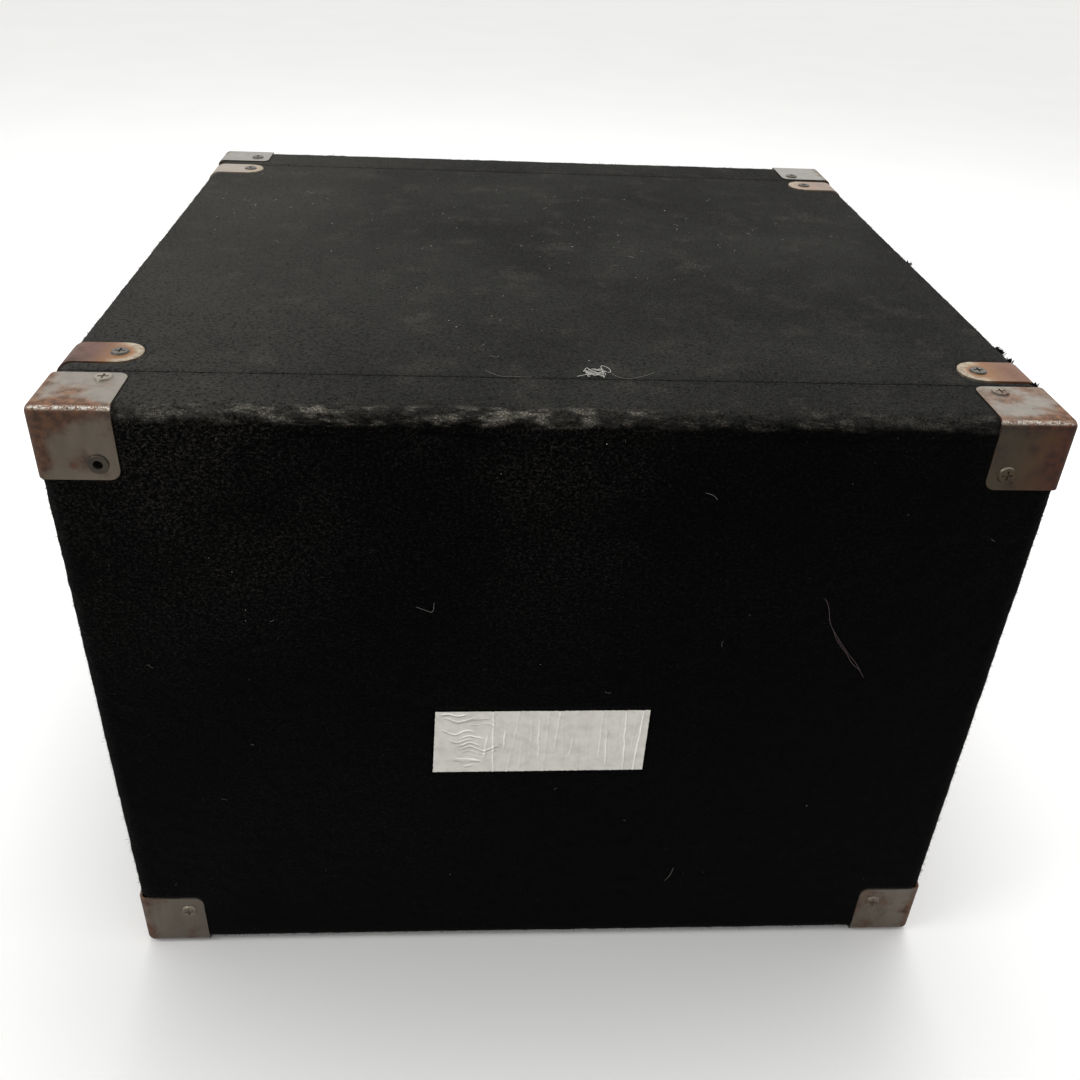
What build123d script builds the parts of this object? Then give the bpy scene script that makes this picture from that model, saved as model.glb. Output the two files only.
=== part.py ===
"""Carpet-covered 19-inch rack case, 8 units high, with a lift-off front and rear cover.

Frame: +X to the right, +Y from the front cover to the rear cover, +Z up. The origin is on the
ground, under the middle of the case. Sizes are in millimetres.
"""
from build123d import *
import os

# Overall size, measured over the faces of the corner plates
CASE_W = 533.4
CASE_D = 517.7
CASE_H = 405.7
FRONT_COVER_DEPTH = 43.3
REAR_COVER_DEPTH = 47.8

# Sheet goods
PLATE = 1.5
CARPET = 3.0
PLY = 18.0
COVER_PLY = 9.0
FOAM = 10.0
CARPET_ROUND = 8.0
PLY_ROUND = 5.0
SEAM = 0.5

# Rebate that locates a cover on the body
TONGUE = 8.0
TONGUE_PLAY = 0.5

# Fasteners
HEAD_R = 5.0
HEAD_H = 1.0
HEAD_TAPER = 35
CROSS_L = 5.6
CROSS_W = 1.1
CROSS_DEEP = 0.7
SHANK_R = 2.0
SHANK_L = 12.0
HOLE_R = 2.05
RIVET_R = 4.5
RIVET_SHANK_R = 2.4
RIVET_L = 14.0
OPEN_RIVET_R = 5.3
OPEN_RIVET_H = 1.1
OPEN_RIVET_SHANK_R = 3.2
OPEN_RIVET_BORE_R = 2.5
OPEN_RIVET_L = 13.0

# Corner plates: leg along Y and its screw, by cover end and side
PLATE_X = 42.2
PLATE_Z = {-1: 43.9, 1: 41.0}
PLATE_BEND = 5.0
PLATE_CORNER = 6.0
PLATE_Y = {(-1, -1): 40.2, (-1, 1): 42.0, (1, -1): 36.0, (1, 1): 44.0}
PLATE_SCREW_Y = {(-1, -1): 33.7, (-1, 1): 34.3, (1, -1): 23.8, (1, 1): 34.3}
PLATE_SCREW_TOP_X = {(-1, -1): 30.5, (-1, 1): 30.1, (1, -1): 31.9, (1, 1): 32.7}
PLATE_SCREW_X = 32.0
PLATE_SCREW_Z = 31.9
PLATE_SCREW_SIDE = 28.0

# Straps over the long edges: centre behind the front face, and the screw in the top leg
STRAP_W = 26.0
STRAP_TOP = 42.3
STRAP_SIDE = 42.3
STRAP_BULGE = 2.6
STRAP_BENDS = [9.0, 15.0]
STRAP_Y = {(-1, -1): 66.9, (-1, 1): 62.2, (1, -1): 456.2, (1, 1): 453.1}
STRAP_SCREW_X = {(-1, -1): 30.0, (-1, 1): 31.2, (1, -1): 32.1, (1, 1): 29.3}
STRAP_SCREW_SIDE = 28.0

# EIA-310 rack rails
UNIT = 44.45
UNITS = 8
UNIT_HOLES = (6.35, 22.225, 38.1)
RAIL_HOLE_X = 465.1 / 2
RAIL_HOLE_R = 2.4
RAIL_OPENING = 450.0
RAIL_T = 2.0
RAIL_FLANGE = 30.0
RAIL_BACK = 14.0
RAIL_SCREW_Z = (20.0, 125.0, 230.0, 335.0)
RAIL_SCREW_R = 3.6

# Recessed handles: the dish, and the bail that swings in it
HANDLE_W = 134.0
HANDLE_H = 78.0
HANDLE_DEEP = 16.0
HANDLE_ROUND = 8.0
DISH = 1.2
HANDLE_RIM = 12.0
BAIL_R = 4.0
BAIL_W = 100.0
BAIL_DROP = 46.0
BAIL_BEND = 7.0
BAIL_AXIS_UP = 25.0
BAIL_AXIS_IN = 7.5
BAIL_END = 66.0
LUG_FROM = 57.8
LUG_SIZE = 13.0
PIVOT_PLAY = 0.05
GRIP_R = 8.0
GRIP_L = 84.0

# Recessed latches. U runs from the seam towards the cover, N outwards, V up
LATCH_U = 58.0
LATCH_HALF = 32.0
LATCH_DEEP = 10.0
LATCH_ROUND = 6.0
LATCH_RIM = 10.0
KEEPER_U = 20.0
POST_U = 34.0
CAM_R = 9.0
CAM_LOW = -8.6
CAM_TOP = -7.6
POST_R = 6.0
POST_TOP = -3.6
EAR_IN = 4.3
EAR_OUT = 8.0
EAR_HALF = 1.8
EAR_TOP = -0.5
WING_AXIS = -2.0
WING_PIN_R = 0.8
WING_BARREL_R = 1.5
WING_T = 1.6
WING_L = 20.0
WING_HALF = 8.0
HOOK_AXIS = -5.2
HOOK_T = 1.6
HOOK_HALF = 9.0
HOOK_EYE_R = 6.8
HOOK_RING_R = 9.4
HOOK_REACH = 48.5
HOOK_DROP = 3.2
HOOK_RELEASED = 6.0
LIP_U = 11.4
LIP_T = 1.2
LIP_HALF = 14.0
LIP_H = 2.4

# Cloth tape label on the front cover: corners from the middle of the case's foot
TAPE_T = 0.4
TAPE_CORNERS = [(-70.3, 160.2), (60.1, 161.5), (60.7, 210.6), (-68.2, 209.5)]

# Planes of the case, from outside in
HALF_W = CASE_W / 2
HALF_D = CASE_D / 2
PLATE_LOW = HEAD_H
PLATE_HIGH = PLATE_LOW + CASE_H
MID_Z = (PLATE_LOW + PLATE_HIGH) / 2
HALF_H = CASE_H / 2
CARPET_X = HALF_W - PLATE
CARPET_Y = HALF_D - PLATE
CARPET_H = HALF_H - PLATE
PLY_X = CARPET_X - CARPET
PLY_Y = CARPET_Y - CARPET
PLY_H = CARPET_H - CARPET
BAY_X = PLY_X - PLY
BAY_H = PLY_H - PLY
SEAM_Y = {-1: FRONT_COVER_DEPTH - HALF_D, 1: HALF_D - REAR_COVER_DEPTH}
BODY_END = {end: SEAM_Y[end] - end * SEAM / 2 for end in (-1, 1)}
COVER_END = {end: SEAM_Y[end] + end * SEAM / 2 for end in (-1, 1)}
TONGUE_END = {end: BODY_END[end] + end * TONGUE for end in (-1, 1)}

SIDES = {-1: "left", 1: "right"}
ENDS = {-1: "front", 1: "rear"}
LEVELS = {-1: "bottom", 1: "top"}


def block(low, high, mode=Mode.ADD):
    """A box between two opposite corners, in any order."""
    middle = [(a + b) / 2 for a, b in zip(low, high)]
    with Locations(Vector(*middle)):
        Box(*[abs(b - a) for a, b in zip(low, high)], mode=mode)


def across(y):
    """A plane across the case at y, facing the rear, with its middle at mid height."""
    return Plane((0, y, MID_Z), x_dir=(-1, 0, 0), z_dir=(0, 1, 0))


def save(part, name):
    """Label a finished piece and write it."""
    part.label = name
    export_step(part, f"parts/{name}.step")


# ---------------------------------------------------------------- places of the fasteners

def plate_seats(end, side, level):
    """Where a corner plate's three screws sit: front or rear face, top or bottom face, side."""
    key = (end, side)
    face_x = side * (HALF_W - PLATE_SCREW_X)
    face_z = MID_Z + level * (HALF_H - PLATE_SCREW_Z)
    over_x = side * (HALF_W - PLATE_SCREW_TOP_X[key])
    over_y = end * (HALF_D - PLATE_SCREW_Y[key])
    side_z = MID_Z + level * (HALF_H - PLATE_SCREW_SIDE)
    return [
        Plane((face_x, end * HALF_D, face_z), z_dir=(0, end, 0)),
        Plane((over_x, over_y, MID_Z + level * HALF_H), z_dir=(0, 0, level)),
        Plane((side * HALF_W, over_y, side_z), z_dir=(side, 0, 0)),
    ]


def strap_seats(end, side, level):
    """Where a strap's two screws sit: on its top or bottom leg, and on its side leg."""
    y = STRAP_Y[(end, side)] - HALF_D
    over_x = side * (HALF_W - STRAP_SCREW_X[(end, side)])
    side_z = MID_Z + level * (HALF_H - STRAP_SCREW_SIDE)
    return [
        Plane((over_x, y, MID_Z + level * HALF_H), z_dir=(0, 0, level)),
        Plane((side * HALF_W, y, side_z), z_dir=(side, 0, 0)),
    ]


def latch_plane(end, side):
    """Latch frame: x from the seam towards the cover, z outwards from the carpet."""
    return Plane((side * CARPET_X, SEAM_Y[end], MID_Z), x_dir=(0, end, 0), z_dir=(side, 0, 0))


def handle_plane(side):
    """Handle frame: y up, z outwards from the carpet, at the middle of a side."""
    return Plane((side * CARPET_X, 0, MID_Z), x_dir=(0, side, 0), z_dir=(side, 0, 0))


def seats_on(plane, points):
    """Seats for rivets on a rim that lies on a face."""
    return [Plane(plane.from_local_coords((x, y, DISH)), z_dir=plane.z_dir) for x, y in points]


def latch_seats(end, side):
    """Where a latch dish's four rivets sit on its rim."""
    rim = LATCH_RIM / 2
    points = [(-LATCH_U - rim, v) for v in (-18, 18)]
    points += [(-POST_U / 2, v * (LATCH_HALF + rim)) for v in (-1, 1)]
    return seats_on(latch_plane(end, side), points)


def keeper_seats(end, side):
    """Where a keeper's two rivets sit on its rim."""
    points = [(KEEPER_U + LATCH_RIM / 2, v) for v in (-18, 18)]
    return seats_on(latch_plane(end, side), points)


def handle_seats(side):
    """Where a handle dish's six rivets sit on its rim."""
    x = (HANDLE_W + HANDLE_RIM) / 2
    y = (HANDLE_H + HANDLE_RIM) / 2
    points = [(a * x, b * HANDLE_H / 3) for a in (-1, 1) for b in (-1, 1)]
    points += [(0, -y), (0, y)]
    return seats_on(handle_plane(side), points)


PAIRS = [(side, level) for side in SIDES for level in LEVELS]
CORNERS = [(end, side, level) for end in ENDS for side, level in PAIRS]
OPEN_RIVET_SEAT = plate_seats(-1, -1, 1)[0]
COVER_SCREW_SEATS = {end: [] for end in ENDS}
for end, side, level in CORNERS:
    COVER_SCREW_SEATS[end] += plate_seats(end, side, level)
COVER_SCREW_SEATS[-1] = [
    seat for seat in COVER_SCREW_SEATS[-1] if seat.origin != OPEN_RIVET_SEAT.origin
]
STRAP_SEATS = [seat for corner in CORNERS for seat in strap_seats(*corner)]


def drill(seats, radius, depth):
    """Round holes of one size, down from their seats."""
    with BuildSketch(*seats) as holes:
        Circle(radius)
    extrude(holes.sketch, amount=-depth, mode=Mode.SUBTRACT)


# ---------------------------------------------------------------- plywood body

def body_slab(level):
    """Top or bottom panel, the full width, with its outer long edges rounded."""
    low, high = sorted((level * PLY_H, level * BAY_H))
    with BuildPart() as slab:
        block((-PLY_X, BODY_END[-1], MID_Z + low), (PLY_X, BODY_END[1], MID_Z + high))
        outer = slab.edges().filter_by(Axis.Y).group_by(Axis.Z)[-1 if level > 0 else 0]
        fillet(outer, PLY_ROUND)
        for end in ENDS:
            near = (-BAY_X - TONGUE, BODY_END[end], MID_Z + level * BAY_H)
            far = (BAY_X + TONGUE, TONGUE_END[end], MID_Z + level * (BAY_H + TONGUE))
            block(near, far)
        drill([s for s in STRAP_SEATS if s.z_dir.Z * level > 0], HOLE_R, SHANK_L)
        drill([s for s in STRAP_SEATS if abs(s.z_dir.X) > 0], HOLE_R, SHANK_L)
    save(slab.part, f"{LEVELS[level]}_panel")


def body_side(side):
    """Left or right panel, between the slabs, cut out for the handle and both latches."""
    grip = handle_plane(side)
    with BuildPart() as wall:
        block((side * PLY_X, BODY_END[-1], MID_Z - BAY_H), (side * BAY_X, BODY_END[1], MID_Z + BAY_H))
        for end in ENDS:
            near = (side * BAY_X, BODY_END[end], MID_Z - BAY_H)
            far = (side * (BAY_X + TONGUE), TONGUE_END[end], MID_Z + BAY_H)
            block(near, far)
        with BuildSketch(grip):
            RectangleRounded(HANDLE_W + 2 * DISH, HANDLE_H + 2 * DISH, HANDLE_ROUND + DISH)
        extrude(amount=-(CARPET + PLY), mode=Mode.SUBTRACT)
        for end in ENDS:
            with BuildSketch(latch_plane(end, side)):
                with Locations((-LATCH_U, 0)):
                    Rectangle(LATCH_U, 2 * LATCH_HALF, align=(Align.MIN, Align.CENTER))
            extrude(amount=-LATCH_DEEP, mode=Mode.SUBTRACT)
            drill(latch_seats(end, side), RIVET_SHANK_R, RIVET_L)
            drill(rail_seats(end, side), HOLE_R, SHANK_L)
        drill(handle_seats(side), RIVET_SHANK_R, RIVET_L)
        drill([s for s in STRAP_SEATS if s.z_dir.X * side > 0], HOLE_R, SHANK_L)
    save(wall.part, f"{SIDES[side]}_side_panel")


def body_carpet():
    """One sleeve of carpet round the four panels, rounded at the seams."""
    with BuildPart() as sleeve:
        with BuildSketch(across(BODY_END[-1])):
            RectangleRounded(2 * CARPET_X, 2 * CARPET_H, CARPET_ROUND)
            RectangleRounded(2 * PLY_X, 2 * PLY_H, PLY_ROUND, mode=Mode.SUBTRACT)
        extrude(amount=BODY_END[1] - BODY_END[-1])
        for end_face in (sleeve.faces().sort_by(Axis.Y)[0], sleeve.faces().sort_by(Axis.Y)[-1]):
            fillet(end_face.outer_wire().edges(), CARPET * 0.7)
        for side in SIDES:
            with BuildSketch(handle_plane(side)):
                RectangleRounded(HANDLE_W + 2 * DISH, HANDLE_H + 2 * DISH, HANDLE_ROUND + DISH)
            extrude(amount=-CARPET, mode=Mode.SUBTRACT)
            drill(handle_seats(side), RIVET_SHANK_R, RIVET_L)
            for end in ENDS:
                with BuildSketch(latch_plane(end, side)):
                    with Locations((-LATCH_U, 0)):
                        Rectangle(LATCH_U, 2 * LATCH_HALF, align=(Align.MIN, Align.CENTER))
                extrude(amount=-CARPET, mode=Mode.SUBTRACT)
                drill(latch_seats(end, side), RIVET_SHANK_R, RIVET_L)
        drill(STRAP_SEATS, HOLE_R, SHANK_L)
    save(sleeve.part, "body_carpet")


# ---------------------------------------------------------------- rack rails

def rail_face(end):
    """Outer face of a pair of rack rails."""
    return TONGUE_END[end] - end * RAIL_BACK


def rail_seats(end, side):
    """Where a rail's wood screws sit on the flange that lies on the side panel."""
    y = rail_face(end) - end * RAIL_FLANGE / 2
    low = MID_Z - UNIT * UNITS / 2
    points = [(side * (BAY_X - RAIL_T), y, low + z) for z in RAIL_SCREW_Z]
    return [Plane(point, z_dir=(-side, 0, 0)) for point in points]


def rack_rail(end, side):
    """Steel angle with a tapped hole at each of the standard heights."""
    low = MID_Z - UNIT * UNITS / 2
    high = low + UNIT * UNITS
    face = rail_face(end)
    with BuildPart() as rail:
        block((side * RAIL_OPENING / 2, face, low), (side * BAY_X, face - end * RAIL_T, high))
        block((side * BAY_X, face, low), (side * (BAY_X - RAIL_T), face - end * RAIL_FLANGE, high))
        heights = [low + unit * UNIT + hole for unit in range(UNITS) for hole in UNIT_HOLES]
        seats = [Plane((side * RAIL_HOLE_X, face, z), z_dir=(0, end, 0)) for z in heights]
        drill(seats, RAIL_HOLE_R, RAIL_T)
        drill(rail_seats(end, side), HOLE_R, RAIL_T)
    save(rail.part, f"{ENDS[end]}_{SIDES[side]}_rack_rail")


# ---------------------------------------------------------------- fasteners

def screws(name, seats, head=HEAD_R):
    """Pan-head cross-recess screws, one on each seat."""
    with BuildPart() as group:
        with BuildSketch(*seats):
            Circle(head)
        extrude(amount=HEAD_H, taper=HEAD_TAPER)
        with BuildSketch(*seats):
            Circle(SHANK_R)
        extrude(amount=-SHANK_L)
        with BuildSketch(*[seat.offset(HEAD_H) for seat in seats]):
            Rectangle(CROSS_L, CROSS_W)
            Rectangle(CROSS_W, CROSS_L)
        extrude(amount=-CROSS_DEEP, mode=Mode.SUBTRACT)
    save(group.part, name)


def rivets(name, seats):
    """Dome-head rivets, one on each seat."""
    with BuildPart() as group:
        with BuildSketch(*seats):
            Circle(RIVET_R)
        extrude(amount=HEAD_H, taper=HEAD_TAPER)
        with BuildSketch(*seats):
            Circle(RIVET_SHANK_R)
        extrude(amount=-RIVET_L)
    save(group.part, name)


def open_rivet():
    """The tubular rivet in the front cover's top left plate."""
    with BuildPart() as rivet:
        with BuildSketch(OPEN_RIVET_SEAT):
            Circle(OPEN_RIVET_R)
        extrude(amount=OPEN_RIVET_H)
        fillet(rivet.edges().sort_by(Axis.Y)[0], OPEN_RIVET_H * 0.6)
        with BuildSketch(OPEN_RIVET_SEAT):
            Circle(OPEN_RIVET_SHANK_R)
        extrude(amount=-OPEN_RIVET_L)
        with BuildSketch(OPEN_RIVET_SEAT.offset(OPEN_RIVET_H)):
            Circle(OPEN_RIVET_BORE_R)
        extrude(amount=-(OPEN_RIVET_H + OPEN_RIVET_L), mode=Mode.SUBTRACT)
    save(rivet.part, "front_open_rivet")


# ---------------------------------------------------------------- corner straps

def strap(end, side, level):
    """A round-ended steel strip bent over a long edge, standing a little off the bend."""
    y = STRAP_Y[(end, side)] - HALF_D
    over_z = MID_Z + level * (HALF_H - PLATE / 2)
    side_x = side * (HALF_W - PLATE / 2)
    over_tip = (side * (HALF_W - STRAP_TOP), over_z)
    bend = (side_x + side * STRAP_BULGE, over_z)
    landing = (side_x, over_z - level * STRAP_SCREW_SIDE * 0.6)
    side_tip = (side_x, MID_Z + level * (HALF_H - STRAP_SIDE))
    with BuildPart() as strip:
        with BuildSketch(Plane.XZ.offset(-(y + STRAP_W / 2))):
            with BuildLine() as middle:
                FilletPolyline(over_tip, bend, landing, side_tip, radius=STRAP_BENDS)
            trace(middle.line, line_width=PLATE)
        extrude(amount=STRAP_W)
        tips = strip.edges().filter_by(Axis.Z).sort_by_distance((over_tip[0], y, over_z))[:2]
        tips += strip.edges().filter_by(Axis.X).sort_by_distance((side_x, y, side_tip[1]))[:2]
        fillet(tips, STRAP_W / 2 - 0.5)
        drill(strap_seats(end, side, level), HOLE_R, PLATE)
    return strip.part


def body_straps():
    """The eight straps, four at each end of the body."""
    with BuildPart() as straps:
        add([strap(*corner) for corner in CORNERS])
    save(straps.part, "corner_straps")


# ---------------------------------------------------------------- recessed handles

def handle_dish(side):
    """Pressed steel dish with a riveted rim and two lugs that carry the bail."""
    face = handle_plane(side)
    round_out = HANDLE_ROUND + DISH
    with BuildPart() as dish:
        with BuildSketch(face):
            RectangleRounded(HANDLE_W + 2 * HANDLE_RIM, HANDLE_H + 2 * HANDLE_RIM, round_out)
        extrude(amount=DISH)
        with BuildSketch(face):
            RectangleRounded(HANDLE_W + 2 * DISH, HANDLE_H + 2 * DISH, round_out)
        extrude(amount=-(HANDLE_DEEP + DISH))
        with BuildSketch(face.offset(-HANDLE_DEEP)):
            RectangleRounded(HANDLE_W, HANDLE_H, HANDLE_ROUND)
        extrude(amount=HANDLE_DEEP + DISH, mode=Mode.SUBTRACT)
        with BuildSketch(face.offset(-HANDLE_DEEP)):
            for way in (-1, 1):
                with Locations((way * (LUG_FROM + HANDLE_W / 2) / 2, BAIL_AXIS_UP)):
                    Rectangle(HANDLE_W / 2 - LUG_FROM, LUG_SIZE)
        extrude(amount=HANDLE_DEEP - BAIL_AXIS_IN + LUG_SIZE / 2)
        bore = face.from_local_coords((-BAIL_END, BAIL_AXIS_UP, -BAIL_AXIS_IN))
        with BuildSketch(Plane(bore, z_dir=face.x_dir)):
            Circle(BAIL_R + PIVOT_PLAY)
        extrude(amount=2 * BAIL_END, mode=Mode.SUBTRACT)
        drill(handle_seats(side), RIVET_SHANK_R, DISH)
    save(dish.part, f"{SIDES[side]}_handle_dish")


def handle_bail(side):
    """Bent steel rod: a bar, two arms, and two ends that turn in the dish's lugs."""
    axis = handle_plane(side).offset(-BAIL_AXIS_IN)
    up = BAIL_AXIS_UP
    down = BAIL_AXIS_UP - BAIL_DROP
    arm = BAIL_W / 2
    end = BAIL_END - PIVOT_PLAY
    with BuildPart() as bail:
        with BuildLine(axis) as path:
            FilletPolyline(
                (-end, up), (-arm, up), (-arm, down), (arm, down), (arm, up), (end, up), radius=BAIL_BEND
            )
        with BuildSketch(Plane(path.line @ 0, z_dir=path.line % 0)):
            Circle(BAIL_R)
        sweep()
    save(bail.part, f"{SIDES[side]}_handle_bail")


def handle_grip(side):
    """Rubber sleeve on the bail's bar."""
    axis = handle_plane(side).offset(-BAIL_AXIS_IN)
    start = axis.from_local_coords((-GRIP_L / 2, BAIL_AXIS_UP - BAIL_DROP, 0))
    with BuildPart() as grip:
        with BuildSketch(Plane(start, z_dir=axis.x_dir)):
            Circle(GRIP_R)
        extrude(amount=GRIP_L)
        fillet(grip.edges().filter_by(GeomType.CIRCLE), GRIP_R / 4)
        with BuildSketch(Plane(start, z_dir=axis.x_dir)):
            Circle(BAIL_R)
        extrude(amount=GRIP_L, mode=Mode.SUBTRACT)
    save(grip.part, f"{SIDES[side]}_handle_grip")


# ---------------------------------------------------------------- recessed latches

def tray(start, stop, level, height, mode=Mode.ADD, grow=0.0):
    """One rectangle of a latch recess, from start to stop along U, and its height."""
    with BuildSketch(level) as outline:
        with Locations(((start + stop) / 2, 0)):
            Rectangle(abs(stop - start), 2 * (LATCH_HALF + grow))
    extrude(outline.sketch, amount=height, mode=mode)


def latch_dish(end, side):
    """The body's half of a latch recess, open at the seam."""
    face = latch_plane(end, side)
    with BuildPart() as dish:
        tray(-LATCH_U - LATCH_RIM, -SEAM / 2, face, DISH, grow=LATCH_RIM)
        rim = dish.edges().filter_by(Axis.X).group_by(Axis.Y)[-1 if end < 0 else 0]
        fillet(rim, LATCH_ROUND)
        tray(-LATCH_U, -SEAM / 2, face, -LATCH_DEEP)
        deep = face.offset(DISH - LATCH_DEEP)
        tray(DISH - LATCH_U, -SEAM / 2, deep, LATCH_DEEP, Mode.SUBTRACT, grow=-DISH)
        drill(latch_seats(end, side), RIVET_SHANK_R, DISH)
    save(dish.part, f"{ENDS[end]}_{SIDES[side]}_latch_dish")


def keeper(end, side):
    """The cover's half of a latch recess, with the lip that the hook pulls on."""
    face = latch_plane(end, side)
    with BuildPart() as dish:
        tray(SEAM / 2, KEEPER_U + LATCH_RIM, face, DISH, grow=LATCH_RIM)
        rim = dish.edges().filter_by(Axis.X).group_by(Axis.Y)[0 if end < 0 else -1]
        fillet(rim, LATCH_ROUND)
        tray(SEAM / 2, KEEPER_U, face, -LATCH_DEEP)
        deep = face.offset(DISH - LATCH_DEEP)
        tray(SEAM / 2, KEEPER_U - DISH, deep, LATCH_DEEP, Mode.SUBTRACT, grow=-DISH)
        tray(LIP_U, LIP_U + LIP_T, deep, LIP_H, grow=LIP_HALF - LATCH_HALF)
        drill(keeper_seats(end, side), RIVET_SHANK_R, DISH)
    return dish.part


def cover_keepers(end):
    """The keepers on a cover's two sides."""
    with BuildPart() as keepers:
        add([keeper(end, side) for side in SIDES])
    save(keepers.part, f"{ENDS[end]}_cover_keepers")


def latch_cam(end, side):
    """Turning post: a disc, a round post, and two ears that hold the wing's pin."""
    face = latch_plane(end, side)
    with BuildPart() as cam:
        with BuildSketch(face.offset(CAM_LOW)):
            with Locations((-POST_U, 0)):
                Circle(CAM_R)
        extrude(amount=CAM_TOP - CAM_LOW)
        with BuildSketch(face.offset(CAM_TOP)):
            with Locations((-POST_U, 0)):
                Circle(POST_R)
        extrude(amount=POST_TOP - CAM_TOP)
        middle = (EAR_IN + EAR_OUT) / 2
        with BuildSketch(face.offset(POST_TOP)):
            with Locations((-POST_U, -middle), (-POST_U, middle)):
                Rectangle(2 * EAR_HALF, EAR_OUT - EAR_IN)
        extrude(amount=EAR_TOP - POST_TOP)
        pin = face.from_local_coords((-POST_U, -EAR_IN, WING_AXIS))
        with BuildSketch(Plane(pin, z_dir=face.y_dir)):
            Circle(WING_PIN_R)
        extrude(amount=2 * EAR_IN)
    save(cam.part, f"{ENDS[end]}_{SIDES[side]}_latch_cam")


def latch_wing(end, side):
    """Flat finger tab on a barrel, folded down and pointing away from the cover."""
    face = latch_plane(end, side)
    barrel = EAR_IN - 0.2
    with BuildPart() as wing:
        with BuildSketch(face.offset(WING_AXIS - WING_T / 2)):
            with BuildLine():
                Polyline(
                    (-POST_U, -barrel),
                    (-POST_U - 4, -barrel),
                    (-POST_U - WING_L, -WING_HALF),
                    (-POST_U - WING_L, WING_HALF),
                    (-POST_U - 4, barrel),
                    (-POST_U, barrel),
                    close=True,
                )
            make_face()
        extrude(amount=WING_T)
        tips = wing.edges().filter_by(Axis.X).group_by(Axis.Y)[-1 if end < 0 else 0]
        fillet(tips, WING_HALF * 0.6)
        start = face.from_local_coords((-POST_U, -barrel, WING_AXIS))
        with BuildSketch(Plane(start, z_dir=face.y_dir)):
            Circle(WING_BARREL_R)
        extrude(amount=2 * barrel)
        with BuildSketch(Plane(start, z_dir=face.y_dir)):
            Circle(WING_PIN_R + PIVOT_PLAY)
        extrude(amount=2 * barrel, mode=Mode.SUBTRACT)
    save(wing.part, f"{ENDS[end]}_{SIDES[side]}_latch_wing")


def latch_hook(end, side):
    """Claw with an eye round the cam's post, stored tipped up, clear of the keeper's lip."""
    face = latch_plane(end, side)
    pivot = face.from_local_coords((-POST_U, 0, HOOK_AXIS))
    tip = -side * end * HOOK_RELEASED
    reach, out = [way.rotate(Axis.Z, tip) for way in (face.x_dir, face.z_dir)]
    low = Plane(pivot, x_dir=reach, z_dir=out).offset(-HOOK_T / 2)
    with BuildPart() as hook:
        with BuildSketch(low):
            Circle(HOOK_RING_R)
            with Locations((HOOK_REACH / 2, 0)):
                Rectangle(HOOK_REACH, 2 * HOOK_HALF)
            Circle(HOOK_EYE_R, mode=Mode.SUBTRACT)
        extrude(amount=HOOK_T)
        with BuildSketch(low.offset(HOOK_T)):
            with Locations((HOOK_REACH + HOOK_T / 2, 0)):
                Rectangle(HOOK_T, 2 * HOOK_HALF)
        extrude(amount=-(HOOK_T / 2 + HOOK_DROP))
    save(hook.part, f"{ENDS[end]}_{SIDES[side]}_latch_hook")


# ---------------------------------------------------------------- covers

def cover_form(end, half_x, half_y, half_h, radius):
    """Solid block inside a cover's skin, rounded along its face and its four long edges."""
    seam = COVER_END[end]
    with BuildPart() as form:
        with BuildSketch(across(seam)):
            RectangleRounded(2 * half_x, 2 * half_h, radius)
        extrude(amount=end * half_y - seam)
        fillet(form.faces().sort_by(Axis.Y)[0 if end < 0 else -1].edges(), radius)
    return form.part


def cover_carpet(end):
    """One piece of carpet over a cover's face and its four sides."""
    form = cover_form(end, PLY_X, PLY_Y, PLY_H, PLY_ROUND)
    with BuildPart() as skin:
        add(cover_form(end, CARPET_X, CARPET_Y, CARPET_H, CARPET_ROUND))
        lip = skin.faces().sort_by(Axis.Y)[-1 if end < 0 else 0]
        fillet(lip.edges(), CARPET * 0.7)
        add(form, mode=Mode.SUBTRACT)
        for side in SIDES:
            tray(SEAM / 2 - SEAM, KEEPER_U, latch_plane(end, side), -CARPET, Mode.SUBTRACT)
            drill(keeper_seats(end, side), RIVET_SHANK_R, RIVET_L)
        drill(COVER_SCREW_SEATS[end], HOLE_R, SHANK_L)
        if end < 0:
            drill([OPEN_RIVET_SEAT], OPEN_RIVET_SHANK_R, OPEN_RIVET_L)
    save(skin.part, f"{ENDS[end]}_cover_carpet")


def cover_panel(end):
    """Plywood face of a cover."""
    inner = end * (PLY_Y - COVER_PLY)
    with BuildPart() as panel:
        add(cover_form(end, PLY_X, PLY_Y, PLY_H, PLY_ROUND))
        block((-HALF_W, inner, 0), (HALF_W, inner - end * CASE_D / 2, 2 * MID_Z), Mode.SUBTRACT)
        drill([s for s in COVER_SCREW_SEATS[end] if abs(s.z_dir.Y) > 0], HOLE_R, SHANK_L)
        if end < 0:
            drill([OPEN_RIVET_SEAT], OPEN_RIVET_SHANK_R, OPEN_RIVET_L)
    save(panel.part, f"{ENDS[end]}_cover_panel")


def cover_slab_rail(end, level):
    """Top or bottom rail of a cover, rebated for the body's tongue."""
    inner = end * (PLY_Y - COVER_PLY)
    rebate = BAY_H + TONGUE + TONGUE_PLAY
    with BuildPart() as rail:
        near = (-PLY_X, COVER_END[end], MID_Z + level * BAY_H)
        block(near, (PLY_X, inner, MID_Z + level * PLY_H))
        outer = rail.edges().filter_by(Axis.Y).group_by(Axis.Z)[-1 if level > 0 else 0]
        fillet(outer, PLY_ROUND)
        half = BAY_X + TONGUE + TONGUE_PLAY
        low = (-half, COVER_END[end], MID_Z + level * BAY_H)
        high = (half, COVER_END[end] + end * (TONGUE + TONGUE_PLAY), MID_Z + level * rebate)
        block(low, high, Mode.SUBTRACT)
        drill([s for s in COVER_SCREW_SEATS[end] if s.z_dir.Z * level > 0], HOLE_R, SHANK_L)
    save(rail.part, f"{ENDS[end]}_cover_{LEVELS[level]}_rail")


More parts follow.
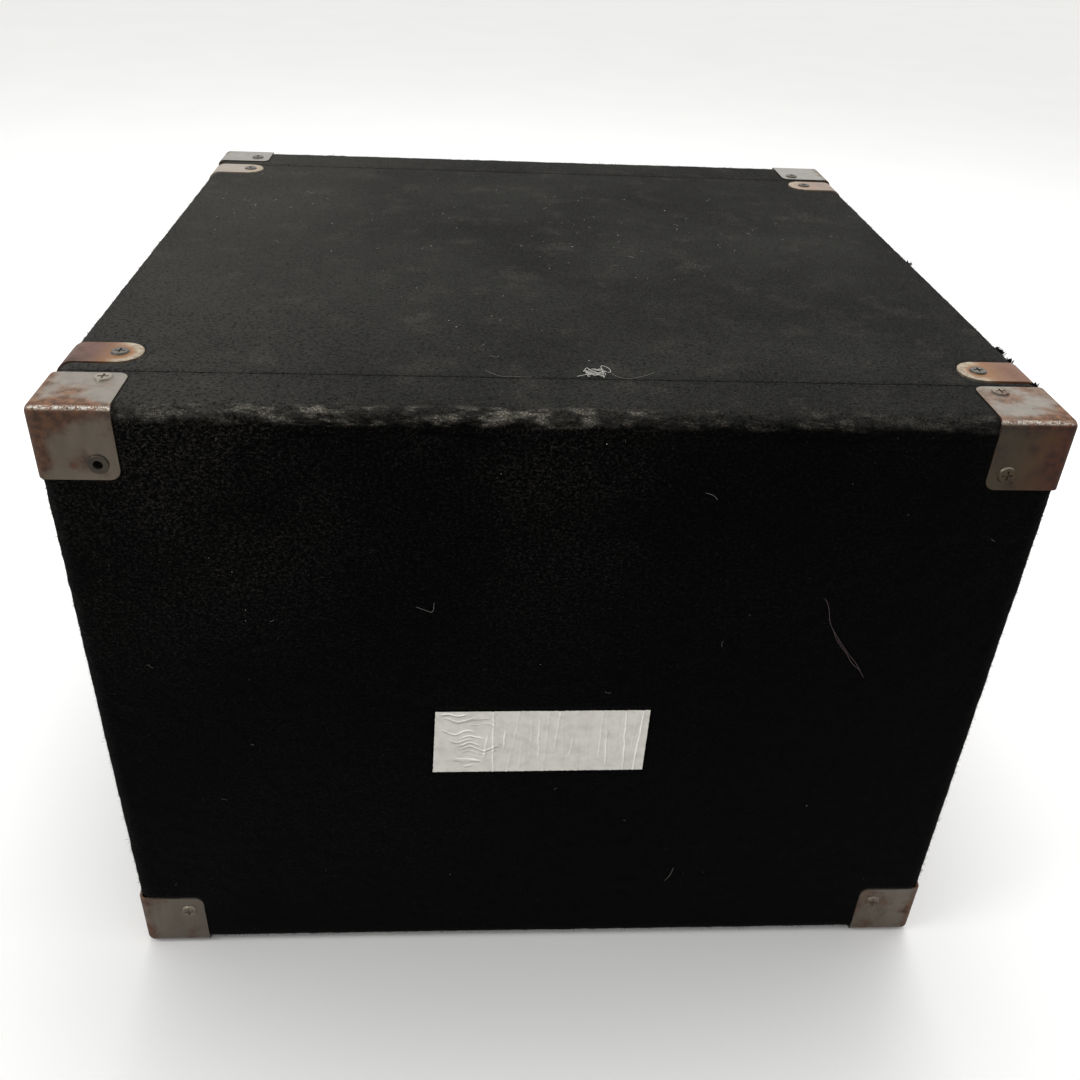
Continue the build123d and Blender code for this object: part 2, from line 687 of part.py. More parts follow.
def cover_side_rail(end, side):
    """Left or right rail of a cover, rebated for the tongue and pocketed for the keeper."""
    inner = end * (PLY_Y - COVER_PLY)
    with BuildPart() as rail:
        near = (side * BAY_X, COVER_END[end], MID_Z - BAY_H)
        block(near, (side * PLY_X, inner, MID_Z + BAY_H))
        rebate = side * (BAY_X + TONGUE + TONGUE_PLAY)
        far = (rebate, COVER_END[end] + end * (TONGUE + TONGUE_PLAY), MID_Z + BAY_H)
        block(near, far, Mode.SUBTRACT)
        tray(0, KEEPER_U, latch_plane(end, side), -LATCH_DEEP, Mode.SUBTRACT)
        drill(keeper_seats(end, side), RIVET_SHANK_R, RIVET_L)
        drill([s for s in COVER_SCREW_SEATS[end] if s.z_dir.X * side > 0], HOLE_R, SHANK_L)
    save(rail.part, f"{ENDS[end]}_cover_{SIDES[side]}_rail")


def cover_foam(end):
    """Flat foam sheet glued inside a cover."""
    play = 1.0
    face = end * (PLY_Y - COVER_PLY)
    with BuildPart() as foam:
        low = (play - BAY_X, face, MID_Z - BAY_H + play)
        block(low, (BAY_X - play, face - end * FOAM, MID_Z + BAY_H - play))
    save(foam.part, f"{ENDS[end]}_cover_foam")


def corner_plate(end, side, level):
    """Pressed steel corner with three faces, rounded where they meet and at their tips."""
    tip = Vector(side * HALF_W, end * HALF_D, MID_Z + level * HALF_H)
    legs = (PLATE_X, PLATE_Y[(end, side)], PLATE_Z[level])
    back = Vector(tip.X - side * legs[0], tip.Y - end * legs[1], tip.Z - level * legs[2])
    core_tip = Vector(side * CARPET_X, end * CARPET_Y, MID_Z + level * CARPET_H)
    core_back = back - Vector(side, end, level) * PLATE
    with BuildPart() as core:
        block(core_tip, core_back)
        fillet(core.edges().sort_by_distance(core_tip)[:3], PLATE_BEND - PLATE)
    with BuildPart() as plate:
        block(tip, back)
        fillet(plate.edges().sort_by_distance(tip)[:3], PLATE_BEND)
        add(core.part, mode=Mode.SUBTRACT)
        free = [(Axis.Z, (back.X, back.Y, tip.Z)), (Axis.Y, (back.X, tip.Y, back.Z))]
        free += [(Axis.X, (tip.X, back.Y, back.Z))]
        for axis, point in free:
            fillet(plate.edges().filter_by(axis).sort_by_distance(point)[0], PLATE_CORNER)
        drill(plate_seats(end, side, level), HOLE_R, PLATE)
        if (end, side, level) == (-1, -1, 1):
            drill([OPEN_RIVET_SEAT], OPEN_RIVET_SHANK_R, PLATE)
    return plate.part


def cover_plates(end):
    """The four corner plates of a cover."""
    with BuildPart() as plates:
        add([corner_plate(end, side, level) for side, level in PAIRS])
    save(plates.part, f"{ENDS[end]}_corner_plates")


def tape_label():
    """Strip of cloth tape stuck across the front cover."""
    with BuildPart() as tape:
        with BuildSketch(Plane.XZ.offset(CARPET_Y)):
            with BuildLine():
                Polyline(*TAPE_CORNERS, close=True)
            make_face()
        extrude(amount=TAPE_T)
    save(tape.part, "front_tape_label")


def main():
    os.makedirs("parts", exist_ok=True)
    for level in LEVELS:
        body_slab(level)
    for side in SIDES:
        body_side(side)
        handle_dish(side)
        handle_bail(side)
        handle_grip(side)
    body_carpet()
    body_straps()
    screws("strap_screws", STRAP_SEATS)
    rivets("handle_rivets", [seat for side in SIDES for seat in handle_seats(side)])
    latches = [(end, side) for end in ENDS for side in SIDES]
    rivets("latch_rivets", [seat for latch in latches for seat in latch_seats(*latch)])
    rail_screws = [seat for latch in latches for seat in rail_seats(*latch)]
    screws("rack_rail_screws", rail_screws, RAIL_SCREW_R)
    for latch in latches:
        rack_rail(*latch)
        latch_dish(*latch)
        latch_cam(*latch)
        latch_wing(*latch)
        latch_hook(*latch)
    for end in ENDS:
        cover_panel(end)
        cover_carpet(end)
        cover_foam(end)
        for level in LEVELS:
            cover_slab_rail(end, level)
        for side in SIDES:
            cover_side_rail(end, side)
        cover_plates(end)
        screws(f"{ENDS[end]}_plate_screws", COVER_SCREW_SEATS[end])
        cover_keepers(end)
        seats = [seat for side in SIDES for seat in keeper_seats(end, side)]
        rivets(f"{ENDS[end]}_keeper_rivets", seats)
    open_rivet()
    tape_label()


main()
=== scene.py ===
"""Looks of a carpet-covered 19-inch rack case with lift-off covers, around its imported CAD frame.

Metres, +X right, +Y from the front cover to the rear cover, +Z up, the ground at z = 0.
"""

import math

import bpy
import numpy as np
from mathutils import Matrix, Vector, noise
from mathutils.bvhtree import BVHTree


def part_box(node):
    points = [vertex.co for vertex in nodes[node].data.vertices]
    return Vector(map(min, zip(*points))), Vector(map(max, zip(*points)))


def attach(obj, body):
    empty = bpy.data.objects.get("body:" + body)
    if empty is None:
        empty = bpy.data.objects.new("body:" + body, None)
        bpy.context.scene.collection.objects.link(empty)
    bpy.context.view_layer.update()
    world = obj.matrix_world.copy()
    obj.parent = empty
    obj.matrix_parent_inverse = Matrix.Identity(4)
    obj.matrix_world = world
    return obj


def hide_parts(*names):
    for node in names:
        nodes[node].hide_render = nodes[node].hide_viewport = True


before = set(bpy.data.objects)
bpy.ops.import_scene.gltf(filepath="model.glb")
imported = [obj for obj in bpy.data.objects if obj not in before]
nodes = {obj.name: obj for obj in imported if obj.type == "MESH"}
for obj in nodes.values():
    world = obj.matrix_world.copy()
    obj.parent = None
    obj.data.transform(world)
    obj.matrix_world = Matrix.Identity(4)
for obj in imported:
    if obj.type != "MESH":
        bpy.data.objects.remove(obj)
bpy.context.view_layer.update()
MM = 0.001

# Carpet: how far the pile stands over the backing, and the spacing of the grid that carries it
PILE = 1.15 * MM
CARPET_ROUND = 8.0 * MM
COVER_STEP = 2.2 * MM
BODY_STEPS = (2.5 * MM, 3.0 * MM, 3.2 * MM)
SEAM_ROWS = ((0.0, 3.0 * MM), (0.0, 0.4 * MM), (0.15 * MM, 0.1 * MM), (0.6 * MM, 0.0))
HOLE_LAP = 4.0 * MM
PAST_SEAM = 10 * MM
FAR = 9.0
FLOOR_GAP = 0.4 * MM

case_low, case_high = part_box("body_carpet")
front_low, front_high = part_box("front_cover_carpet")
rear_low, rear_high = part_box("rear_cover_carpet")
TOP = case_high.z
BOTTOM = case_low.z
SIDE = case_high.x
FRONT = front_low.y
REAR = rear_high.y
PLATE_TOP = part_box("front_corner_plates")[1].z
PLATE_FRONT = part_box("front_corner_plates")[0].y
PLATE_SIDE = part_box("front_corner_plates")[1].x


# ---------------------------------------------------------------- shader helpers
SPOT_CORE = 0.1


class Look:
    """A procedural material with short calls for its nodes. Its places are in metres."""

    def __init__(self, name, **sockets):
        self.material = bpy.data.materials.new(name)
        self.material.use_nodes = True
        self.tree = self.material.node_tree
        self.shader = self.tree.nodes["Principled BSDF"]
        for socket, value in sockets.items():
            self.shader.inputs[socket.replace("_", " ")].default_value = value
        self.place = self.node("ShaderNodeTexCoord").outputs["Object"]
        self.x, self.y, self.z = self.node("ShaderNodeSeparateXYZ", [self.place]).outputs

    def node(self, kind, inputs=(), **settings):
        made = self.tree.nodes.new(kind)
        for key, value in settings.items():
            setattr(made, key, value)
        for socket, value in zip(made.inputs, inputs):
            self.feed(socket, value)
        return made

    def feed(self, socket, value):
        if isinstance(value, bpy.types.NodeSocket):
            self.tree.links.new(value, socket)
        elif value is not None:
            socket.default_value = value

    def link(self, socket, value):
        self.feed(self.shader.inputs[socket], value)

    def sum(self, operation, *values):
        total = values[0]
        for value in values[1:]:
            total = self.node("ShaderNodeMath", [total, value], operation=operation).outputs[0]
        return total

    def add(self, *values):
        return self.sum("ADD", *values)

    def times(self, *values):
        return self.sum("MULTIPLY", *values)

    def less(self, a, b):
        return self.sum("SUBTRACT", a, b)

    def most(self, *values):
        return self.sum("MAXIMUM", *values)

    def least(self, *values):
        return self.sum("MINIMUM", *values)

    def size(self, a):
        return self.node("ShaderNodeMath", [a], operation="ABSOLUTE").outputs[0]

    def wave(self, a):
        return self.node("ShaderNodeMath", [a], operation="SINE").outputs[0]

    def ramp(self, value, start, end, low=0.0, high=1.0):
        made = self.node("ShaderNodeMapRange", [value, start, end, low, high],
                         interpolation_type="SMOOTHSTEP")
        return made.outputs[0]

    def noise(self, per_metre, detail=2.0, rough=0.5, stretch=None, shift=0.0):
        place = self.place
        if stretch or shift:
            mapping = [place, (shift,) * 3, None, stretch or (1, 1, 1)]
            place = self.node("ShaderNodeMapping", mapping).outputs[0]
        made = self.node("ShaderNodeTexNoise")
        for socket, value in (("Vector", place), ("Scale", per_metre), ("Detail", detail),
                              ("Roughness", rough)):
            self.feed(made.inputs[socket], value)
        return made.outputs[0]

    def cells(self, per_metre):
        """Distance from the middle of the nearest cell."""
        made = self.node("ShaderNodeTexVoronoi")
        self.feed(made.inputs["Vector"], self.place)
        self.feed(made.inputs["Scale"], per_metre)
        return made.outputs["Distance"]

    def mix(self, share, a, b, blend="MIX"):
        made = self.node("ShaderNodeMix", data_type="RGBA", blend_type=blend)
        for socket, value in ((made.inputs[0], share), (made.inputs[6], a), (made.inputs[7], b)):
            self.feed(socket, value)
        return made.outputs[2]

    def spot(self, at, radius):
        """1 in the middle of a round spot at that place, falling to 0 at its edge."""
        apart = self.node("ShaderNodeVectorMath", [self.place, tuple(at)], operation="DISTANCE")
        return self.ramp(apart.outputs["Value"], radius * SPOT_CORE, radius, 1.0, 0.0)

    def upward(self):
        """The upward part of the surface's normal."""
        normal = self.node("ShaderNodeNewGeometry").outputs["Normal"]
        return self.node("ShaderNodeSeparateXYZ", [normal]).outputs[2]

    def bump(self, height, strength, distance):
        made = self.node("ShaderNodeBump")
        for socket, value in (("Strength", strength), ("Distance", distance), ("Height", height)):
            self.feed(made.inputs[socket], value)
        self.link("Normal", made.outputs[0])


def dimmed(colour, share):
    return tuple(c * share for c in colour[:3]) + (1.0,)


def shade(r, g=None, b=None):
    """A colour from its 0-255 display values."""
    parts = (r, r if g is None else g, r if b is None else b)
    return tuple(((c / 255 + 0.055) / 1.055) ** 2.4 if c > 10 else c / 255 / 12.92
                 for c in parts) + (1.0,)


# ---------------------------------------------------------------- carpet and fibre materials
def carpet_look():
    """Black needle pile: dark clumps, dust and painted sheen on top, grey fibres painted as highlights high
    on the front, a worn edge.
    """
    look = Look("black_carpet", Roughness=1.0, Specular_IOR_Level=0.0, Sheen_Weight=0.03,
                Sheen_Roughness=0.5)
    # Noises, from the fine pile to broad patches
    clump = look.noise(600, 4.0, 0.72, stretch=(0.8, 1.0, 1.0))
    grain = look.noise(1500, 3.0, 0.75, stretch=(0.7, 1.0, 1.0), shift=3.1)
    patch = look.noise(9, 4.0, 0.55, shift=7.7)
    smudge = look.noise(34, 4.0, 0.6, shift=1.3)
    lie = look.noise(190, 4.0, 0.7, stretch=(0.35, 1.0, 1.0), shift=5.5)
    wave = look.noise(36, 3.0, 0.6, stretch=(1.0, 0.0, 0.0), shift=2.5)
    # Upright faces: dark pile, with painted fibre highlights high up and on the left
    lid = look.ramp(look.upward(), 0.10, 0.85)
    tuft = look.times(look.ramp(clump, 0.42, 0.68), look.ramp(grain, 0.40, 0.70))
    below, behind = look.less(TOP, look.z), look.less(look.y, FRONT)
    left = look.ramp(look.x, -0.16, 0.18, 1.0, 0.15)
    # Painted fibre highlights: strongest just under the top, in patches, and towards the left
    high = look.times(look.ramp(below, 0.012, 0.20, 1.0, 0.14),
                      look.ramp(patch, 0.38, 0.60, 0.25, 1.0))
    pile = look.mix(tuft, shade(1), shade(13, 13, 13))
    pile = look.mix(look.times(tuft, high, left, 0.85), pile, shade(66, 63, 60))
    # Top: dust with a painted sheen, painted shade in the gaps between the clumps, and pale smudges
    dust_and_sheen = look.mix(look.ramp(patch, 0.34, 0.68), shade(25, 25, 24), shade(37, 37, 35))
    dust_and_sheen = look.mix(look.ramp(look.x, -0.24, -0.04, 0.45, 0.0), dust_and_sheen, shade(64, 63, 60))
    dust_and_sheen = look.mix(look.times(look.ramp(grain, 0.46, 0.70), 0.8), dust_and_sheen, shade(58, 57, 54))
    # Painted shade in the gaps between the clumps, deeper towards the front
    gaps = look.times(look.ramp(clump, 0.36, 0.52, 1.0, 0.0), look.ramp(behind, 0.03, 0.30, 0.95, 0.45))
    dust_and_sheen = look.mix(gaps, dust_and_sheen, shade(14, 14, 13))
    smudged = look.times(look.ramp(smudge, 0.50, 0.80), look.ramp(grain, 0.40, 0.60), 0.30)
    dust_and_sheen = look.mix(smudged, dust_and_sheen, shade(92, 89, 83))
    # Faces turned up take the dust and the painted sheen
    pile = look.mix(lid, pile, dust_and_sheen)
    # Worn, flecked edge between the top and the front, with a ragged slit of painted shade below it
    edge = look.ramp(look.most(behind, below), 0.0028, 0.0085, 1.0, 0.0)
    worn = look.times(edge, look.ramp(look.x, -0.04, 0.12, 1.0, 0.30),
                      look.ramp(smudge, 0.36, 0.56, 0.5, 1.0))
    pile = look.mix(look.times(worn, look.ramp(lie, 0.42, 0.62), 0.7), pile, shade(80, 77, 70))
    flecked = look.times(worn, look.ramp(lie, 0.50, 0.62), look.ramp(grain, 0.48, 0.62))
    pile = look.mix(look.times(flecked, 0.8), pile, shade(150, 144, 133))
    # Painted shade: a black ragged line along the crease under the worn edge
    slit_shade = look.size(look.less(below, look.add(look.times(wave, 0.012), 0.0055)))
    slit_shade = look.times(look.ramp(slit_shade, 0.0003, 0.0016, 1.0, 0.0), look.ramp(behind, 0.004, 0.006, 1.0, 0.0),
                      look.ramp(smudge, 0.44, 0.56))
    pile = look.mix(look.times(slit_shade, 0.9), pile, shade(0))
    look.link("Base Color", pile)
    look.bump(look.add(look.times(clump, 0.6), look.times(grain, 0.5)), 0.9, 0.9 * MM)
    return look.material


def fibre_look(name, colour):
    return Look(name, Base_Color=colour, Roughness=0.9, Specular_IOR_Level=0.08).material


# ---------------------------------------------------------------- mesh helpers
def new_piece(name, points, faces, materials, body):
    mesh = bpy.data.meshes.new(name)
    mesh.from_pydata([tuple(p) for p in points], [], faces)
    mesh.validate()
    for material in materials:
        mesh.materials.append(material)
    mesh.polygons.foreach_set("use_smooth", [True] * len(mesh.polygons))
    mesh.update()
    piece = bpy.data.objects.new(name, mesh)
    bpy.context.scene.collection.objects.link(piece)
    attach(piece, body)
    return piece


def box_skin(lines, faces):
    """A grid over the named faces of a box, (axis, end), joined along its edges.

    Returns the points' places in the grid and its outward quads."""
    index, places, quads = {}, [], []

    def at(place):
        if place not in index:
            index[place] = len(places)
            places.append(place)
        return index[place]

    for axis, end in faces:
        u, v = (axis + 1) % 3, (axis + 2) % 3
        for i in range(len(lines[u]) - 1):
            for j in range(len(lines[v]) - 1):
                ring = []
                for du, dv in ((0, 0), (1, 0), (1, 1), (0, 1)):
                    place = [0, 0, 0]
                    place[axis] = len(lines[axis]) - 1 if end > 0 else 0
                    place[u], place[v] = i + du, j + dv
                    ring.append(at(tuple(place)))
                quads.append(ring if end > 0 else ring[::-1])
    return np.array(places), quads


def spaced(start, end, step):
    return np.linspace(start, end, round((end - start) / step) + 1)


def step_up(value, start, end):
    t = np.clip((value - start) / (end - start), 0, 1)
    return t * t * (3 - 2 * t)


def tree_of(names):
    """One search tree over those CAD nodes."""
    points, faces = [], []
    for name in names:
        mesh = nodes[name].data
        start = len(points)
        points += [v.co for v in mesh.vertices]
        faces += [[start + i for i in p.vertices] for p in mesh.polygons]
    return BVHTree.FromPolygons(points, faces)


def ripple(places, wave, shift=0.0):
    """Smooth noise from -1 to 1 at each place, with bumps about wave across."""
    return np.array([noise.noise(Vector(p) / wave + Vector((shift,) * 3)) for p in places])


HARDWARE = ("plates", "straps", "dish", "keepers", "tape_label")
HARDWARE_NEAR = 10 * MM
RAY_BACK, RAY_LONG = 0.6 * MM, 6 * MM
hardware = tree_of([n for n in nodes if n.endswith(HARDWARE)])


def covered(places, normals):
    """Which places have hardware over them, and how far each is from it."""
    over, apart = np.zeros(len(places), bool), np.full(len(places), HARDWARE_NEAR)
    for i, (p, n) in enumerate(zip(places, normals)):
        start = Vector(p)
        near = hardware.find_nearest(start, HARDWARE_NEAR)
        if near[0] is not None:
            apart[i] = near[3]
            out = Vector(n)
            over[i] = hardware.ray_cast(start - out * RAY_BACK, out, RAY_LONG)[0] is not None
    return over, apart


def carpet_holes(body):
    """Rectangles (side, low y, high y, low z, high z) where the carpet is cut out under a rim."""
    holes = []
    for node in nodes:
        mine = (node.endswith("dish") and body == "case") or node == f"{body}_keepers"
        if not mine:
            continue
        low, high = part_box(node)
        sides = [-1, 1] if "keepers" in node else [1 if low.x > 0 else -1]
        at_seam = "latch" in node or "keepers" in node
        y_low, y_high = low.y + HOLE_LAP, high.y - HOLE_LAP
        if at_seam:
            toward_front = (low.y < 0) == (body == "case")
            y_low, y_high = (low.y - PAST_SEAM, y_high) if toward_front else (y_low, high.y + PAST_SEAM)
        holes += [(side, y_low, y_high, low.z + HOLE_LAP, high.z - HOLE_LAP) for side in sides]
    return holes


# ---------------------------------------------------------------- carpets
def carpet(name, node, body, lines, faces, insets, y_round):
    """Pile carpet over the CAD's carpet: tucked in at the seams, pressed flat under the hardware.

    Gives the piece, its points and their normals, and the quads that nothing covers."""
    low, high = (np.array(c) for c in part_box(node))
    places, quads = box_skin(lines, faces)
    flat = np.stack([lines[a][places[:, a]] for a in range(3)], axis=1)
    inner_low = low + CARPET_ROUND
    inner_high = high - CARPET_ROUND
    inner_low[1] = low[1] + CARPET_ROUND if y_round < 0 else -FAR
    inner_high[1] = high[1] - CARPET_ROUND if y_round > 0 else FAR
    inner = np.clip(flat, inner_low, inner_high)
    away = flat - inner
    normals = away / np.linalg.norm(away, axis=1)[:, None]
    surface = inner + normals * CARPET_ROUND
    over, apart = covered(surface, normals)
    inset = insets[places[:, 1]]
    swell = (PILE + 0.26 * MM * ripple(surface, 5.2 * MM) + 0.16 * MM * ripple(surface, 13 * MM, 5.0)
             + 0.12 * MM * ripple(surface, 60 * MM, 9.0))
    near_front = np.maximum(surface[:, 1] - FRONT, TOP - surface[:, 2])
    crease = step_up(-near_front, -26 * MM, -9 * MM) * step_up(-surface[:, 0], -0.02, 0.10)
    torn = np.clip(ripple(surface * np.array([1.0, 2.2, 2.2]), 7 * MM, 2.0) - 0.22, 0, 1)
    swell -= crease * torn * 2.6 * MM
    swell *= 0.30 + 0.70 * step_up(apart, 0.2 * MM, 1.6 * MM)
    swell = np.where(over, -0.25 * MM, swell)
    swell = np.where(inset > 1.5 * MM, 0.0, swell)
    points = surface + normals * (swell - inset)[:, None]
    middles = surface[np.array(quads)].mean(axis=1)
    facing = normals[np.array(quads)].mean(axis=1)
    gone = np.zeros(len(quads), bool)
    for side, y0, y1, z0, z1 in carpet_holes(body):
        gone |= ((facing[:, 0] * side > 0.7) & (middles[:, 1] > y0) & (middles[:, 1] < y1)
                 & (middles[:, 2] > z0) & (middles[:, 2] < z1))
    kept = [q for q, cut in zip(quads, gone) if not cut]
    piece = new_piece(name, points, kept, [carpet_material], body)
    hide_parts(node)
    open_quads = [q for q in kept if not over[q].any() and insets[places[q, 1]].max() < 1 * MM]
    return piece, points, normals, np.array(open_quads)


def seam_rows(end):
    """The last rows of a carpet before its seam: how far back each is and how far it's tucked in."""
    rows = SEAM_ROWS if end < 0 else SEAM_ROWS[::-1]
    return np.array([r[0] for r in rows]), np.array([r[1] for r in rows])


def rows_along(start, end, step, front_seam, rear_seam):
    """Grid lines along Y and each one's tuck, with close rows at each seam."""
    ys = spaced(start, end, step)
    tucks = np.zeros(len(ys))
    if front_seam:
        back, tuck = seam_rows(-1)
        ys, tucks = np.concatenate([start + back, ys[1:]]), np.concatenate([tuck, tucks[1:]])
    if rear_seam:
        back, tuck = seam_rows(1)
        ys, tucks = np.concatenate([ys[:-1], end - back]), np.concatenate([tucks[:-1], tuck])
    return ys, tucks


TUBE = ((0, -1), (0, 1), (2, -1), (2, 1))
carpet_material = carpet_look()
case_rows, case_tucks = rows_along(case_low.y, case_high.y, BODY_STEPS[1], True, True)
front_rows, front_tucks = rows_along(front_low.y, front_high.y, COVER_STEP, False, True)
rear_rows, rear_tucks = rows_along(rear_low.y, rear_high.y, COVER_STEP, True, False)
cover_columns, cover_levels = spaced(-SIDE, SIDE, COVER_STEP), spaced(BOTTOM, TOP, COVER_STEP)
carpets = {
    "case": carpet("case_carpet", "body_carpet", "case",
                   [spaced(-SIDE, SIDE, BODY_STEPS[0]), case_rows, spaced(BOTTOM, TOP, BODY_STEPS[2])],
                   TUBE, case_tucks, 0),
    "front_cover": carpet("front_carpet", "front_cover_carpet", "front_cover",
                          [cover_columns, front_rows, cover_levels],
                          TUBE + ((1, -1),), front_tucks, -1),
    "rear_cover": carpet("rear_carpet", "rear_cover_carpet", "rear_cover",
                         [cover_columns, rear_rows, cover_levels],
                         TUBE + ((1, 1),), rear_tucks, 1),
}


# ---------------------------------------------------------------- loose fibres of the pile
FIBRE_TONES = (fibre_look("fibre_black", shade(6)), fibre_look("fibre_grey", shade(44, 44, 43)),
               fibre_look("fibre_pale", shade(98, 94, 88)))


# Median length in mm and its limits, half widths, and how far from an edge or a seam fibres gather
FIBRE_LONG, FIBRE_SPREAD, FIBRE_LIMITS = 1.6, 0.35, (0.7, 4.2)
FIBRE_HALF_WIDTHS = (0.05, 0.11)
EDGE_FADE, SEAM_FADE, SEAM_LEAN, WORN_FADE = 7 * MM, 1.5 * MM, 2 * MM, 5 * MM
WORN_TO = 0.06


def fuzz(name, body, count, seed):
    """Fine fibres that stand out of the pile, closest together along the box edges."""
    _, points, normals, quads = carpets[body]
    rng = np.random.default_rng(seed)
    middles, facing = points[quads].mean(axis=1), normals[quads].mean(axis=1)
    facing /= np.linalg.norm(facing, axis=1)[:, None]
    gaps = np.stack([SIDE - np.abs(middles[:, 0]), np.minimum(middles[:, 1] - FRONT, REAR - middles[:, 1]),
                     np.minimum(middles[:, 2] - BOTTOM, TOP - middles[:, 2])])
    to_edge = np.sort(gaps, axis=0)[1]
    ends = ((points[:, 1].min(), "front_cover"), (points[:, 1].max(), "rear_cover"))
    to_seam = np.min([np.abs(middles[:, 1] - y) for y, closed in ends if body != closed], axis=0)
    weight = 0.16 + np.exp(-np.clip(to_edge, 0, None) / EDGE_FADE) + 5.0 * np.exp(-to_seam / SEAM_FADE)
    areas = np.linalg.norm(np.cross(points[quads[:, 2]] - points[quads[:, 0]],
                                    points[quads[:, 3]] - points[quads[:, 1]]), axis=1)
    weight *= areas * np.where(facing[:, 2] < -0.7, 0.25, 1.0)
    pick = rng.choice(len(quads), count, p=weight / weight.sum())
    u, v = rng.random((2, count, 1))
    a, b, c, d = (points[quads[pick, k]] for k in range(4))
    root = (a * (1 - u) + b * u) * (1 - v) + (d * (1 - u) + c * u) * v - facing[pick] * 0.5 * MM
    lean = rng.normal(size=(count, 3)) * 0.55
    grow = facing[pick] + lean
    at_seam = np.exp(-to_seam[pick] / SEAM_LEAN)
    grow[:, 1] += at_seam * rng.normal(size=count) * 1.5
    grow /= np.linalg.norm(grow, axis=1)[:, None]
    lengths = rng.lognormal(math.log(FIBRE_LONG), FIBRE_SPREAD, count)
    length = np.clip(lengths, *FIBRE_LIMITS)[:, None] * MM
    across = np.cross(grow, rng.normal(size=(count, 3)))
    half = rng.uniform(*FIBRE_HALF_WIDTHS, count)[:, None] * MM
    across *= half / np.linalg.norm(across, axis=1)[:, None]
    curl = np.cross(grow, across)
    curl *= (rng.uniform(-0.5, 0.5, count)[:, None] * length) / np.linalg.norm(curl, axis=1)[:, None]
    middle = root + grow * length * 0.55 + curl * 0.35
    tip = root + grow * length * 0.95 + curl
    narrow = across * 0.8
    blades = np.stack([root - across, root + across, middle + narrow, middle - narrow, tip], axis=1)
    blades[..., 2] = np.maximum(blades[..., 2], FLOOR_GAP)
    faces = []
    for i in range(0, count * 5, 5):
        faces += [(i, i + 1, i + 2, i + 3), (i + 3, i + 2, i + 4)]
    made = new_piece(name, blades.reshape(-1, 3), faces, FIBRE_TONES, body)
    # Tones: pale fibres at the worn front edge; grey ones on the lid, thickest at its seams, for dust and
    # painted sheen, and high on the front's left as painted fibre highlights
    top_edge = np.maximum(middles[pick, 1] - FRONT, TOP - middles[pick, 2])
    on_lid_side = facing[pick, 2] > 0.5
    worn = 0.3 + 0.7 * (middles[pick, 0] < WORN_TO)
    pale = 0.004 + 0.24 * np.exp(-np.clip(top_edge, 0, None) / WORN_FADE) * worn
    high = np.exp(-(TOP - middles[pick, 2]) / 0.05) * (middles[pick, 0] < 0.05)
    grey = 0.03 + (0.45 + 0.5 * at_seam) * on_lid_side + 0.30 * high
    dice = rng.random(count)
    tone = np.where(dice < pale, 2, np.where(dice < pale + grey, 1, 0))
    made.data.polygons.foreach_set("material_index", np.repeat(tone, 2).tolist())


fuzz("case_fuzz", "case", 52000, 11)
fuzz("front_fuzz", "front_cover", 56000, 12)
fuzz("rear_fuzz", "rear_cover", 40000, 13)


# ---------------------------------------------------------------- steel
# Painted shade multiplied into the steel's upright faces, which are left darker than its tops
UPRIGHT_SHADE = (0.46, 0.415, 0.37, 1.0)
# Colours multiplied into the upright faces of the upper right plates: darker and browner, rust-orange
# towards the side
RIGHT_FACE_TINT, RIGHT_FACE_RUST = (0.40, 0.37, 0.30, 1.0), (0.62, 0.33, 0.16, 1.0)


